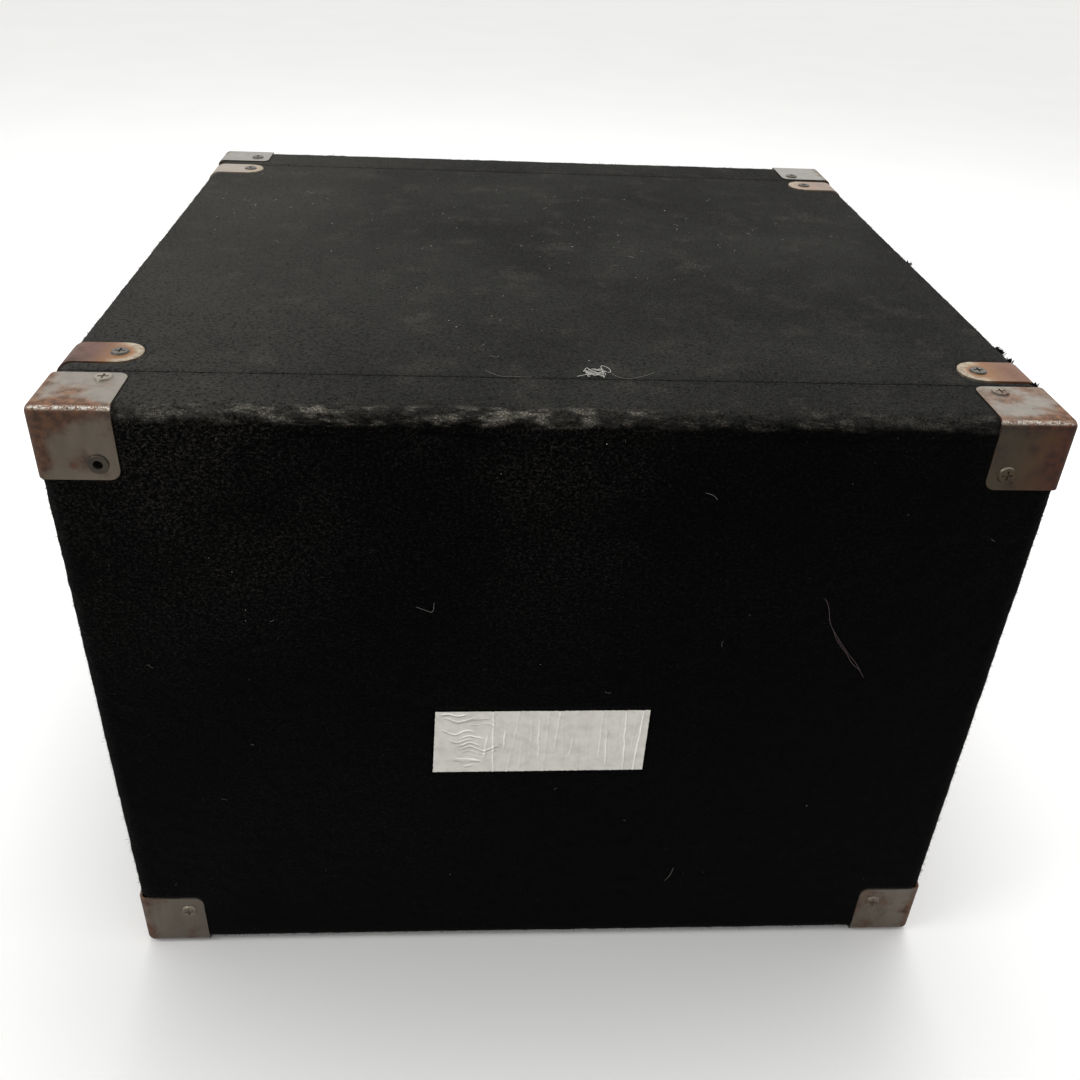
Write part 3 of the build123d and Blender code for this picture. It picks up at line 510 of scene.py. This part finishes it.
def steel_look(name, clean, rusty, dark, rust, shine, rough=0.40, metal=0.7, stains=()):
    """Tarnished steel: brown stains that gather at the bends, bright metal rubbed through there under a
    painted highlight, and painted shade on the upright faces.

    rust is how much staining it takes to rust, and shine how bright the rubbed, painted-highlit bend is."""
    look = Look(name, Specular_IOR_Level=0.4)
    blotch = look.noise(48, 4.0, 0.58, shift=2.2)
    fine = look.noise(620, 3.0, 0.65, shift=4.0)
    speck = look.noise(260, 4.0, 0.7, shift=6.0)
    streak = look.noise(160, 3.0, 0.55, stretch=(1.0, 1.0, 0.25), shift=1.0)
    # How far the surface is from the plates' bends
    front_bend = look.most(look.less(look.y, PLATE_FRONT), look.less(PLATE_TOP, look.z))
    side_gap = look.less(PLATE_SIDE, look.size(look.x))
    side_bend = look.most(side_gap, look.less(PLATE_TOP, look.z))
    post_bend = look.most(side_gap, look.less(look.y, PLATE_FRONT))
    bend = look.least(front_bend, look.add(side_bend, 0.0006), look.add(post_bend, 0.0010))
    round_bend = look.ramp(bend, 0.0015, 0.0120, 1.0, 0.0)
    right = look.ramp(look.x, -0.05, 0.10)
    amount = look.add(look.times(round_bend, 0.46), look.times(look.ramp(blotch, 0.28, 0.78), 0.62),
                      look.times(speck, 0.30), look.times(right, 0.14))
    for at, radius in stains:
        amount = look.add(amount, look.times(look.spot(at, radius), 0.45))
    crust = look.ramp(amount, rust, rust + 0.55)
    rub = look.add(look.times(fine, 0.35), look.times(look.noise(1500, 3.0, 0.7, shift=8.0), 0.4),
                   look.times(speck, 0.25))
    # Bare metal rubbed through along the front bend, partly a painted highlight
    rub_and_highlight = look.times(look.ramp(front_bend, 0.0012, 0.0030, 1.0, 0.0), look.ramp(rub, 0.44, 0.55), shine)
    colour = look.mix(look.ramp(streak, 0.30, 0.75), clean, dimmed(clean, 0.80))
    colour = look.mix(crust, colour, look.mix(look.ramp(speck, 0.35, 0.65), rusty, dark))
    colour = look.mix(look.times(look.ramp(speck, 0.66, 0.76), 0.6), colour, dark)
    # Painted shade: the upright faces darker than the tops
    upright = look.ramp(look.upward(), 0.15, 0.75, 1.0, 0.0)
    upright_shade_mask = look.times(upright, look.ramp(look.z, 0.1, 0.3, 0.8, 1.0))
    colour = look.mix(upright_shade_mask, colour, UPRIGHT_SHADE, "MULTIPLY")
    # Upper right plates' upright faces: darker and browner, rust-orange near the side
    right_faces_mask = look.times(upright, right, look.ramp(look.z, 0.30, 0.33))
    right_face_colour = look.mix(look.ramp(side_gap, 0.006, 0.036), RIGHT_FACE_RUST, RIGHT_FACE_TINT)
    colour = look.mix(right_faces_mask, colour, right_face_colour, "MULTIPLY")
    colour = look.mix(rub_and_highlight, colour, shade(232, 226, 214))
    look.link("Base Color", colour)
    look.link("Metallic", look.ramp(look.less(crust, rub_and_highlight), 0.1, 0.9, metal, 0.15))
    look.link("Roughness", look.ramp(look.less(crust, rub_and_highlight), 0.0, 0.9, rough, 0.80))
    look.bump(look.add(look.times(crust, fine, 0.6), look.times(speck, 0.25)), 0.35, 0.2 * MM)
    return look.material


# Middle and radius of each rust stain on the front cover's upper plates
RUST_STAINS = (
    ((-0.263, FRONT, 0.392), 0.016),
    ((-0.263, FRONT, 0.378), 0.012),
    ((-0.247, FRONT, 0.374), 0.004),
    ((-0.255, FRONT, 0.399), 0.014),
    ((-0.250, -0.246, TOP), 0.018),
    ((0.263, FRONT, 0.385), 0.022),
    ((0.245, FRONT, 0.390), 0.006),
)
corner_steel = steel_look("corner_steel", shade(126, 120, 111), shade(120, 84, 60), shade(78, 55, 40),
                          0.42, 1.0, stains=RUST_STAINS)
rear_corner_steel = steel_look("rear_corner_steel", shade(130, 127, 120), shade(118, 102, 88),
                               shade(84, 72, 61), 0.56, 0.3)
fastener_steel = steel_look("fastener_steel", shade(88, 83, 76), shade(70, 56, 46), shade(40, 34, 29),
                            0.46, 0.0)
plate_screw_steel = steel_look("plate_screw_steel", shade(142, 133, 121), shade(116, 92, 74),
                               shade(60, 50, 42), 0.42, 0.0, rough=0.32)
latch_zinc = steel_look("latch_zinc", shade(150, 149, 144), shade(124, 110, 96), shade(98, 86, 75),
                        0.72, 0.0, rough=0.36)

# Middle of the round end of each upper strap
STRAP_TIP_X = 0.2374
STRAP_TIPS = [(side * STRAP_TIP_X, y, TOP)
              for side, y in ((-1, -0.1920), (1, -0.1967), (-1, 0.1974), (1, 0.1943))]


def worn_strap_look():
    """Rust-browned strap: darker towards the bend, rubbed pale in a ring round its rounded tip."""
    look = Look("strap_steel", Specular_IOR_Level=0.25)
    blotch, speck = look.noise(60, 4.0, 0.6), look.noise(380, 4.0, 0.7, shift=6.0)
    inward = look.less(SIDE, look.size(look.x))
    flat = look.node("ShaderNodeCombineXYZ", [look.x, look.y, TOP]).outputs[0]
    apart = []
    for tip in STRAP_TIPS:
        made = look.node("ShaderNodeVectorMath", [flat, tip], operation="DISTANCE")
        apart.append(made.outputs["Value"])
    rim = look.add(look.least(*apart), look.times(blotch, 0.006))
    ring = look.times(look.ramp(rim, 0.0100, 0.0140), look.ramp(inward, 0.022, 0.032))
    near = look.ramp(look.add(inward, look.times(blotch, 0.014)), 0.018, 0.038)
    rear = look.ramp(look.y, -0.05, 0.05)
    brown = look.mix(look.ramp(blotch, 0.35, 0.70), shade(84, 54, 42), shade(56, 36, 28))
    brown = look.mix(look.ramp(look.x, -0.1, 0.1, 0.0, 0.55), brown, shade(120, 84, 60))
    brown = look.mix(near, brown, shade(124, 86, 52))
    brown = look.mix(look.times(rear, look.ramp(look.x, -0.1, 0.1, 0.95, 0.55)), brown, shade(138, 128, 118))
    brown = look.mix(look.times(look.ramp(speck, 0.58, 0.75), 0.4), brown, shade(136, 104, 82))
    pale = look.mix(look.ramp(speck, 0.35, 0.65), shade(160, 148, 130), shade(124, 110, 94))
    look.link("Base Color", look.mix(ring, brown, pale))
    look.link("Metallic", look.ramp(ring, 0.0, 1.0, 0.1, 0.6))
    look.link("Roughness", look.ramp(blotch, 0.3, 0.7, 0.46, 0.64))
    look.bump(look.add(speck, look.times(blotch, 0.5)), 0.25, 0.15 * MM)
    return look.material


strap_steel = worn_strap_look()


def rail_look():
    """Satin black enamel with fine orange peel and rubbed grey edges round the holes."""
    look = Look("rail_enamel", Specular_IOR_Level=0.5)
    peel, rub = look.noise(900, 2.0, 0.5), look.noise(140, 4.0, 0.6, shift=3.0)
    look.link("Base Color", look.mix(look.ramp(rub, 0.62, 0.74), shade(26, 26, 27), shade(74, 72, 70)))
    look.link("Roughness", look.ramp(rub, 0.3, 0.7, 0.34, 0.55))
    look.bump(peel, 0.25, 0.1 * MM)
    return look.material


PLY_LAYER = 1.4 * MM
GLUE_IN = (0.7 * MM, 0.3 * MM)
RIB = 3.2 * MM
WEAVE = 0.7 * MM


def plywood_look(name, axis, middle, thick, along):
    """Birch plywood: grained face veneers, and the glued layers where the sheet is cut."""
    look = Look(name, Roughness=0.62, Specular_IOR_Level=0.3)
    stretch = [90.0, 90.0, 90.0]
    stretch[along] = 5.0
    grain = look.noise(1.0, 5.0, 0.6, stretch=tuple(stretch))
    fine = look.noise(1.0, 3.0, 0.5, stretch=tuple(s * 9 for s in stretch), shift=1.0)
    from_middle = look.less((look.x, look.y, look.z)[axis], middle)
    depth = look.times(from_middle, 1 / PLY_LAYER)
    layer = look.wave(look.times(depth, math.pi))
    glue = look.ramp(look.size(layer), 0.0, 0.28, 1.0, 0.0)
    inside = look.ramp(look.size(from_middle), thick / 2 - GLUE_IN[0], thick / 2 - GLUE_IN[1], 1.0, 0.0)
    wood = look.mix(look.ramp(grain, 0.3, 0.7), shade(214, 184, 142), shade(182, 146, 104))
    wood = look.mix(look.times(look.ramp(fine, 0.5, 0.8), 0.35), wood, shade(140, 106, 74))
    edge = look.mix(look.ramp(layer, -0.2, 0.2), shade(196, 160, 116), shade(160, 122, 84))
    wood = look.mix(look.times(inside, 0.8), wood, edge)
    wood = look.mix(look.times(inside, glue, 0.7), wood, shade(84, 58, 38))
    look.link("Base Color", wood)
    look.bump(look.add(grain, look.times(fine, 0.5)), 0.3, 0.3 * MM)
    return look.material


def foam_look():
    """Charcoal open-cell foam."""
    look = Look("foam", Roughness=0.95, Specular_IOR_Level=0.15)
    cell, soft = look.cells(650), look.noise(25, 4.0, 0.6)
    pore = look.ramp(cell, 0.25, 0.65, 1.0, 0.0)
    colour = look.mix(look.ramp(soft, 0.3, 0.7), shade(58, 58, 60), shade(74, 74, 75))
    look.link("Base Color", look.mix(look.times(pore, 0.7), colour, shade(28)))
    look.bump(cell, 0.9, 1.0 * MM)
    return look.material


def rubber_look():
    """Black rubber with moulded ribs round the grip and a worn, dusty bloom."""
    look = Look("grip_rubber", Specular_IOR_Level=0.35)
    rib = look.wave(look.times(look.y, 2 * math.pi / RIB))
    dust, fine = look.noise(60, 4.0, 0.6), look.noise(1400, 2.0, 0.5)
    look.link("Base Color", look.mix(look.ramp(dust, 0.45, 0.7), shade(20), shade(46, 45, 43)))
    look.link("Roughness", look.ramp(dust, 0.3, 0.7, 0.55, 0.8))
    look.bump(look.add(look.ramp(rib, -0.3, 0.5), look.times(fine, 0.2)), 0.7, 0.6 * MM)
    return look.material


def dress(node, material):
    for slot in nodes[node].material_slots:
        slot.material = material


def plywood_for(node, plies):
    """Plywood for a board, shared by the boards that lie in one plane and run the same way."""
    low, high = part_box(node)
    thin = min(range(3), key=lambda a: high[a] - low[a])
    if "rail" in node:
        thin = 2 if ("top" in node or "bottom" in node) else 0
    along = max(range(3), key=lambda a: high[a] - low[a])
    key = (thin, round((low[thin] + high[thin]) / 2, 4), along)
    if key not in plies:
        plies[key] = plywood_look(f"plywood_{len(plies)}", thin, key[1], high[thin] - low[thin], along)
    return plies[key]


rail_enamel, grip_rubber, foam_material = rail_look(), rubber_look(), foam_look()
plies = {}
for node in nodes:
    if node.endswith("_panel") or node.endswith("_rail") and "rack" not in node:
        dress(node, plywood_for(node, plies))
    elif "rack_rail" in node and "screws" not in node:
        dress(node, rail_enamel)
    elif "corner_plates" in node:
        dress(node, corner_steel if node.startswith("front") else rear_corner_steel)
    elif "straps" in node:
        dress(node, strap_steel)
    elif "screws" in node or "rivet" in node:
        dress(node, plate_screw_steel if node.startswith("front_plate") else fastener_steel)
    elif "grip" in node:
        dress(node, grip_rubber)
    elif "latch" in node or "keepers" in node or "handle" in node:
        dress(node, latch_zinc)


# ---------------------------------------------------------------- foam liners
FOAM_ROUND = 2.4 * MM
FOAM_CUTS = (110, 5, 84)


def foam_liner(name, node, body):
    """A cut sheet of foam: soft edges, faces that dip and swell a little."""
    low, high = (np.array(c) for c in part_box(node))
    lines = [spaced(low[a], high[a], (high[a] - low[a]) / n) for a, n in enumerate(FOAM_CUTS)]
    places, quads = box_skin(lines, [(a, e) for a in range(3) for e in (-1, 1)])
    flat = np.stack([lines[a][places[:, a]] for a in range(3)], axis=1)
    inner = np.clip(flat, low + FOAM_ROUND, high - FOAM_ROUND)
    normals = (flat - inner) / np.linalg.norm(flat - inner, axis=1)[:, None]
    drop = 0.45 * MM + 0.3 * MM * ripple(flat, 35 * MM) + 0.15 * MM * ripple(flat, 9 * MM)
    points = inner + normals * (FOAM_ROUND - drop)[:, None]
    piece = new_piece(name, points, quads, [foam_material], body)
    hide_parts(node)


foam_liner("front_foam", "front_cover_foam", "front_cover")
foam_liner("rear_foam", "rear_cover_foam", "rear_cover")


# ---------------------------------------------------------------- tape label
def tape_look():
    """Off-white cloth tape: fine weave, soil, a few grey smudges, painted shade beside the creases and a
    painted highlight on their crests.
    """
    look = Look("cloth_tape", Roughness=0.62, Specular_IOR_Level=0.35)
    threads = [look.wave(look.times(axis, 2 * math.pi / WEAVE)) for axis in (look.x, look.z)]
    soil, smudge = look.noise(120, 4.0, 0.6), look.noise(45, 4.0, 0.65, shift=2.0)
    rise = look.less(FRONT - TAPE_LIFT, look.y)
    colour = look.mix(look.ramp(soil, 0.35, 0.75), shade(208, 205, 198), shade(190, 187, 180))
    colour = look.mix(look.times(look.ramp(smudge, 0.60, 0.74), 0.3), colour, shade(140, 139, 136))
    # Painted shade in the hollows beside the creases
    valley_shade = look.times(look.ramp(rise, -0.00040, -0.00010, 1.0, 0.0), 0.6)
    colour = look.mix(valley_shade, colour, shade(140, 136, 128))
    # Painted highlight on the creases' crests
    colour = look.mix(look.ramp(rise, 0.0001, 0.0006), colour, shade(250, 249, 245))
    look.link("Base Color", colour)
    look.bump(look.add(look.times(threads[0], threads[1], 0.15), look.times(soil, 0.5)), 0.4, 0.2 * MM)
    return look.material


# Corners (x, z) from the lower left, anticlockwise; the flat strip; how far it stands off the front
TAPE_CORNERS = [Vector(c) * MM for c in ((-70.3, 160.2), (60.1, 161.5), (60.7, 210.6), (-68.2, 209.5))]
TAPE_LIFT = 1.4 * MM
TAPE_GRID = (300, 110)
WRINKLES = 19
LOWEST = -0.6


def ridge(apart, width):
    return math.exp(-(apart / width) ** 2)


def tape_wrinkles(rng):
    """Upright creases along the strip, then the level ones at its left end.

    An upright one is its place, lean, start, stop and height, a level one its place, start, stop
    and height, all as shares of the strip but the height, in mm."""
    upright = [(s + rng.normal() * 0.008, rng.normal() * 0.020, rng.uniform(-0.25, 0.35),
                rng.uniform(0.6, 1.3), rng.uniform(0.2, 0.55)) for s in np.linspace(0.24, 0.975, WRINKLES)]
    level = [(t + rng.normal() * 0.02, rng.uniform(0.01, 0.13), rng.uniform(0.16, 0.33),
              rng.uniform(0.15, 0.50)) for t in np.linspace(0.04, 0.96, WRINKLES)]
    return upright, level


def tape_rise(s, t, upright, level):
    """How far the strip stands up at a place in it, in mm."""
    lift = 0.14 * noise.noise((s * 6, t * 4, 7.0)) + 0.07 * noise.noise((s * 60, t * 25, 8.0))
    for at, lean, start, stop, high in upright:
        if start < t < stop:
            ends = min(1, (t - start) * 9, (stop - t) * 9)
            apart = s - at - lean * (t - 0.5) - 0.004 * noise.noise((t * 6, at * 40, 3.0))
            lift += high * ends * (ridge(apart, 0.0036) - 0.35 * ridge(apart - 0.009, 0.0045))
    for at, start, stop, high in level:
        if start < s < stop:
            ends = min(1, (s - start) * 30, (stop - s) * 30)
            apart = t - at - 0.06 * noise.noise((s * 15, at * 5, 5.0))
            lift += 1.5 * high * ends * (ridge(apart, 0.012) - 0.8 * ridge(apart + 0.028, 0.013))
    return lift


def tape_label():
    """The strip of tape: wavy level wrinkles bunched at its left end, upright creases along the rest."""
    across, up = TAPE_GRID
    upright, level = tape_wrinkles(np.random.default_rng(21))
    low_left, low_right, high_right, high_left = TAPE_CORNERS
    points = []
    for j in range(up + 1):
        for i in range(across + 1):
            s, t = i / across, j / up
            foot, head = low_left * (1 - s) + low_right * s, high_left * (1 - s) + high_right * s
            x, z = foot * (1 - t) + head * t
            lift = max(tape_rise(s, t, upright, level), LOWEST) * MM
            rag = 0.25 * noise.noise((t * 20, s * 60, 9.0)) * MM * (i in (0, across) or j in (0, up))
            points.append((x + rag, FRONT - TAPE_LIFT - lift, z + rag))
    faces = [(r + i, r + i + 1, r + i + 2 + across, r + i + 1 + across)
             for r in range(0, up * (across + 1), across + 1) for i in range(across)]
    piece = new_piece("tape", points, faces, [tape_look()], "front_cover")
    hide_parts("front_tape_label")


tape_label()


# ---------------------------------------------------------------- lint and threads
def tubes(name, body, paths, radius, material, sides=5):
    """Thin round threads along the paths, tapered at their ends."""
    points, faces = [], []
    for path in paths:
        line = [Vector(p) for p in path]
        start = len(points)
        for i, p in enumerate(line):
            ahead = (line[min(i + 1, len(line) - 1)] - line[max(i - 1, 0)]).normalized()
            side = ahead.cross(Vector((0.3, 0.5, 0.8))).normalized()
            other = ahead.cross(side)
            r = radius * (0.45 if i in (0, len(line) - 1) else 1.0)
            for k in range(sides):
                a = 2 * math.pi * k / sides
                points.append(p + (side * math.cos(a) + other * math.sin(a)) * r)
        for i in range(len(line) - 1):
            for k in range(sides):
                a, b = start + i * sides + k, start + i * sides + (k + 1) % sides
                faces.append((a, b, b + sides, a + sides))
        faces.append(tuple(start + k for k in range(sides))[::-1])
        faces.append(tuple(start + (len(line) - 1) * sides + k for k in range(sides)))
    new_piece(name, points, faces, [material], body)


def curve_through(knots, count):
    """Points along a smooth line through the knots."""
    knots = [Vector(k) for k in knots]
    out = []
    for i in range(count + 1):
        t = i / count * (len(knots) - 1)
        k = min(int(t), len(knots) - 2)
        f = t - k
        p0, p1, p2, p3 = (knots[min(max(k + d, 0), len(knots) - 1)] for d in (-1, 0, 1, 2))
        out.append(0.5 * (2 * p1 + (p2 - p0) * f + (2 * p0 - 5 * p1 + 4 * p2 - p3) * f * f
                          + (3 * p1 - p0 - 3 * p2 + p3) * f ** 3))
    return out


def on_lid(x, y, lift=1.5):
    """A place over the top, from mm across and mm behind the front."""
    return (x * MM, FRONT + y * MM, TOP + lift * MM)


def on_front(x, z, lift=1.5):
    """A place in front of the front, from mm across and mm up."""
    return (x * MM, FRONT - lift * MM, z * MM)


def thread_look(name, colour):
    look = Look(name, Roughness=0.7, Specular_IOR_Level=0.3, Sheen_Weight=0.2)
    look.link("Base Color", look.mix(look.noise(900, 2.0), colour, dimmed(colour, 0.75)))
    return look.material


pale_thread = thread_look("pale_thread", shade(206, 204, 196))
grey_thread = thread_look("grey_thread", shade(132, 129, 122))


def crumbs(name, body, spots, rng):
    """Scraps of lint caught in the pile: small ragged flakes, bent at the middle."""
    points, faces = [], []
    for at, out, size in spots:
        at, out = Vector(at), Vector(out)
        side = out.cross(Vector(rng.normal(size=3))).normalized()
        other = out.cross(side)
        start, corners = len(points), 6
        points.append(at + out * size * 0.35)
        for k in range(corners):
            a = 2 * math.pi * (k + rng.uniform(-0.3, 0.3)) / corners
            reach = size * rng.uniform(0.35, 1.0)
            points.append(at + side * math.cos(a) * reach * 1.5 + other * math.sin(a) * reach * 0.6)
        faces += [(start, start + 1 + k, start + 1 + (k + 1) % corners) for k in range(corners)]
    new_piece(name, points, faces, [pale_thread], body)


def spread_round(rng, area, spread):
    """A place near one of an area's middles, kept within its half width and its length."""
    middles, width, length = area
    u, v = np.array(middles[rng.integers(len(middles))]) + rng.normal(size=2) * spread
    return float(np.clip(u, -width, width)), float(np.clip(v, *length))


def scatter(rng, place, out, area, spread, count, sizes):
    """Flakes round the area's middles, thinning out with distance."""
    return [(place(*spread_round(rng, area, spread)), out, rng.uniform(*sizes) * MM)
            for _ in range(count)]


def wisps(rng, place, area, spread, count, lengths):
    """Short bent fibres lying on the pile."""
    paths = []
    for _ in range(count):
        u, v = spread_round(rng, area, spread)
        turn, long = rng.uniform(0, 2 * math.pi), rng.uniform(*lengths)
        knots = []
        for _ in range(4):
            knots.append(place(u, v, rng.uniform(1.1, 1.6)))
            u, v = u + math.cos(turn) * long / 3, v + math.sin(turn) * long / 3
            turn += rng.normal() * 0.8
        paths.append(curve_through(knots, 9))
    return paths


TUFT_FIBRES = 48


def tufts(rng, places):
    """Ragged knots of pile pulled up at the edge of the lid."""
    paths = []
    for x, y in places:
        for _ in range(TUFT_FIBRES):
            start = on_lid(x + rng.normal() * 0.8, y + rng.normal() * 1.4, -1.5)
            way = np.array([0.4, 0.0, 0.9]) + rng.normal(size=3) * 0.35
            end = np.array(start) + way * rng.uniform(1.2, 2.3) * MM
            middle = (np.array(start) + end) / 2 + rng.normal(size=3) * 0.25 * MM
            paths.append(curve_through([start, middle, end], 4))
    return paths


# Where lint gathers: middles, half width, and length from and to, in mm
LID_AREA = ([(-110, 278), (-206, 349), (-3, 292), (40, 240), (150, 300), (-60, 150), (10, 380)],
            240, (52, 455))
FRONT_AREA = ([(-150, 330), (-60, 300), (120, 300), (60, 100), (-200, 200)], 240, (40, 390))
LID_TUFTS = [(261.5, 252), (262, 97), (262, 93), (262, 81), (262, 47)]
REAR_TUFTS = [(-34, 481), (-30, 482)]
TUFT_R, THREAD_R, FRONT_HAIR_R = 0.26 * MM, 0.13 * MM, 0.08 * MM
FIBRE_R, FINE_R, FINEST_R = 0.07 * MM, 0.06 * MM, 0.05 * MM


def lint(rng):
    """Flakes, short fibres and pulled tufts of pile."""
    crumbs("lid_lint", "case", scatter(rng, on_lid, (0, 0, 1), LID_AREA, 45, 80, (0.18, 0.55)), rng)
    crumbs("front_lint", "front_cover",
           scatter(rng, on_front, (0, -1, 0), FRONT_AREA, 70, 22, (0.15, 0.35)), rng)
    tubes("lid_fibres", "case", wisps(rng, on_lid, LID_AREA, 50, 40, (2, 7)), FIBRE_R, grey_thread)
    tubes("front_fibres", "front_cover", wisps(rng, on_front, FRONT_AREA, 70, 9, (2, 5)), FINEST_R,
          grey_thread)
    tubes("lid_tufts", "case", tufts(rng, LID_TUFTS), TUFT_R, FIBRE_TONES[0])
    tubes("rear_tufts", "rear_cover", tufts(rng, REAR_TUFTS), TUFT_R, FIBRE_TONES[0])


def white_thread(rng):
    """The white thread curled up beside the front seam: a scribble, a loop and a tail."""
    scribble = []
    for a in np.linspace(0, 15, 46):
        x = 18 + 5.0 * math.cos(a * 1.9) + rng.normal() * 1.1
        y = 47 + 3.4 * math.sin(a * 2.7) + rng.normal() * 0.9
        scribble.append(on_lid(x, y, 1.6 + 1.6 * (0.5 + 0.5 * math.sin(a * 3.1))))
    loop = [on_lid(24 + 2.7 * math.cos(a), 50.5 + 3.6 * math.sin(a), 2.2 + 2.0 * math.sin(a * 0.5) ** 2)
            for a in np.linspace(-2.4, 5.4, 20)]
    tail = [on_lid(14, 46, 2), on_lid(11, 44.5, 2), on_lid(8, 43.8, 1.6)]
    white = [curve_through(scribble, 210), curve_through(loop, 80), curve_through(tail, 16)]
    tubes("white_thread", "case", white, THREAD_R, pale_thread)


def hairs():
    """Hairs across the front seam and on the front, and the long mauve one at the front's right."""
    left = [on_lid(-41, 50), on_lid(-37, 44.5, 2.0), on_lid(-31, 41.5, 1.8), on_lid(-24, 41.5, 1.8),
            on_lid(-16, 42)]
    right = [on_lid(26, 48, 2.5), on_lid(30, 43, 2.2), on_lid(36, 41.5, 1.9), on_lid(43, 44, 2.2),
             on_lid(51, 51)]
    tubes("lid_hairs", "case", [curve_through(h, 30) for h in (left, right)], FIBRE_R, grey_thread)
    hook = [on_front(-78, 287), on_front(-73, 285, 2.0), on_front(-69, 284, 2.0), on_front(-68, 290)]
    arch = [on_front(75, 362), on_front(79, 361, 2.0), on_front(82, 358)]
    rise = [on_front(85, 57), on_front(88, 63, 2.0), on_front(90, 70)]
    tubes("front_hairs", "front_cover", [curve_through(h, 20) for h in (hook, arch, rise)],
          FRONT_HAIR_R, grey_thread)
    long = [on_front(152, 294), on_front(155, 288, 2.2), on_front(158, 277, 2.4), on_front(164, 267, 2.0),
            on_front(172, 256, 2.2), on_front(180, 246, 2.0), on_front(186, 236)]
    split = [on_front(161, 272, 1.9), on_front(164, 265, 2.0), on_front(172, 254.5, 2.1),
             on_front(177, 247, 1.9), on_front(182, 242.5, 1.9)]
    tubes("mauve_hair", "front_cover", [curve_through(h, 60) for h in (long, split)], FINE_R,
          thread_look("mauve_thread", shade(128, 104, 108)))


litter_rng = np.random.default_rng(31)
lint(litter_rng)
white_thread(litter_rng)
hairs()


# ---------------------------------------------------------------- camera, floor and light
FLOOR_HALF = 9
FLOOR_CORNERS = [(x * FLOOR_HALF, y * FLOOR_HALF, 0) for x, y in ((-1, -1), (1, -1), (1, 1), (-1, 1))]
# World brightness: from and to along Y, and its strength at each
SKY_FALL = (-0.5, 0.5, 0.66, 1.15)
SKY_COLOUR = (1.0, 0.995, 0.985, 1.0)
LAMP_AIM = (0, 0, 0.3)
LAMPS = (("overhead", (0.15, 0.65, 1.9), 1.4, 24), ("window", (-1.5, -0.7, 1.7), 0.7, 9))


def studio():
    """Pale floor, white surroundings and two soft lamps."""
    floor_mesh = bpy.data.meshes.new("floor")
    floor_mesh.from_pydata(FLOOR_CORNERS, [], [(0, 1, 2, 3)])
    floor = bpy.data.objects.new("floor", floor_mesh)
    bpy.context.scene.collection.objects.link(floor)
    look = Look("pale_floor", Roughness=0.8, Specular_IOR_Level=0.2)
    look.link("Base Color", look.mix(look.noise(4, 3.0), shade(244, 244, 243), shade(249, 249, 248)))
    floor_mesh.materials.append(look.material)
    world = bpy.data.worlds.new("studio")
    world.use_nodes = True
    tree = world.node_tree
    way = tree.nodes.new("ShaderNodeSeparateXYZ")
    tree.links.new(tree.nodes.new("ShaderNodeTexCoord").outputs["Generated"], way.inputs[0])
    fall = tree.nodes.new("ShaderNodeMapRange")
    fall.interpolation_type = "SMOOTHSTEP"
    tree.links.new(way.outputs[1], fall.inputs[0])
    for socket, value in zip(fall.inputs[1:5], SKY_FALL):
        socket.default_value = value
    tree.links.new(fall.outputs[0], tree.nodes["Background"].inputs["Strength"])
    tree.nodes["Background"].inputs["Color"].default_value = SKY_COLOUR
    bpy.context.scene.world = world
    for name, place, width, power in LAMPS:
        lamp = bpy.data.lights.new(name, "AREA")
        lamp.shape, lamp.size, lamp.energy = "SQUARE", width, power
        light = bpy.data.objects.new(name, lamp)
        light.location = place
        light.rotation_euler = (Vector(LAMP_AIM) - Vector(place)).to_track_quat("-Z", "Y").to_euler()
        bpy.context.scene.collection.objects.link(light)


# Fitted to the box's visible corners
CAMERA_AT = (-0.0485, -0.7448, 0.6448)
CAMERA_TURN = (57.252, -2.388, -2.875)
CAMERA_LENS, CAMERA_SENSOR = 36.01, 36.0
CAMERA_NEAR, CAMERA_FAR = 0.05, 50


def photo_camera():
    data = bpy.data.cameras.new("camera")
    data.lens, data.sensor_width = CAMERA_LENS, CAMERA_SENSOR
    data.clip_start, data.clip_end = CAMERA_NEAR, CAMERA_FAR
    camera = bpy.data.objects.new("camera", data)
    bpy.context.scene.collection.objects.link(camera)
    camera.location = CAMERA_AT
    camera.rotation_euler = [math.radians(a) for a in CAMERA_TURN]
    bpy.context.scene.camera = camera


studio()
photo_camera()
bpy.context.scene.view_settings.view_transform = "Standard"
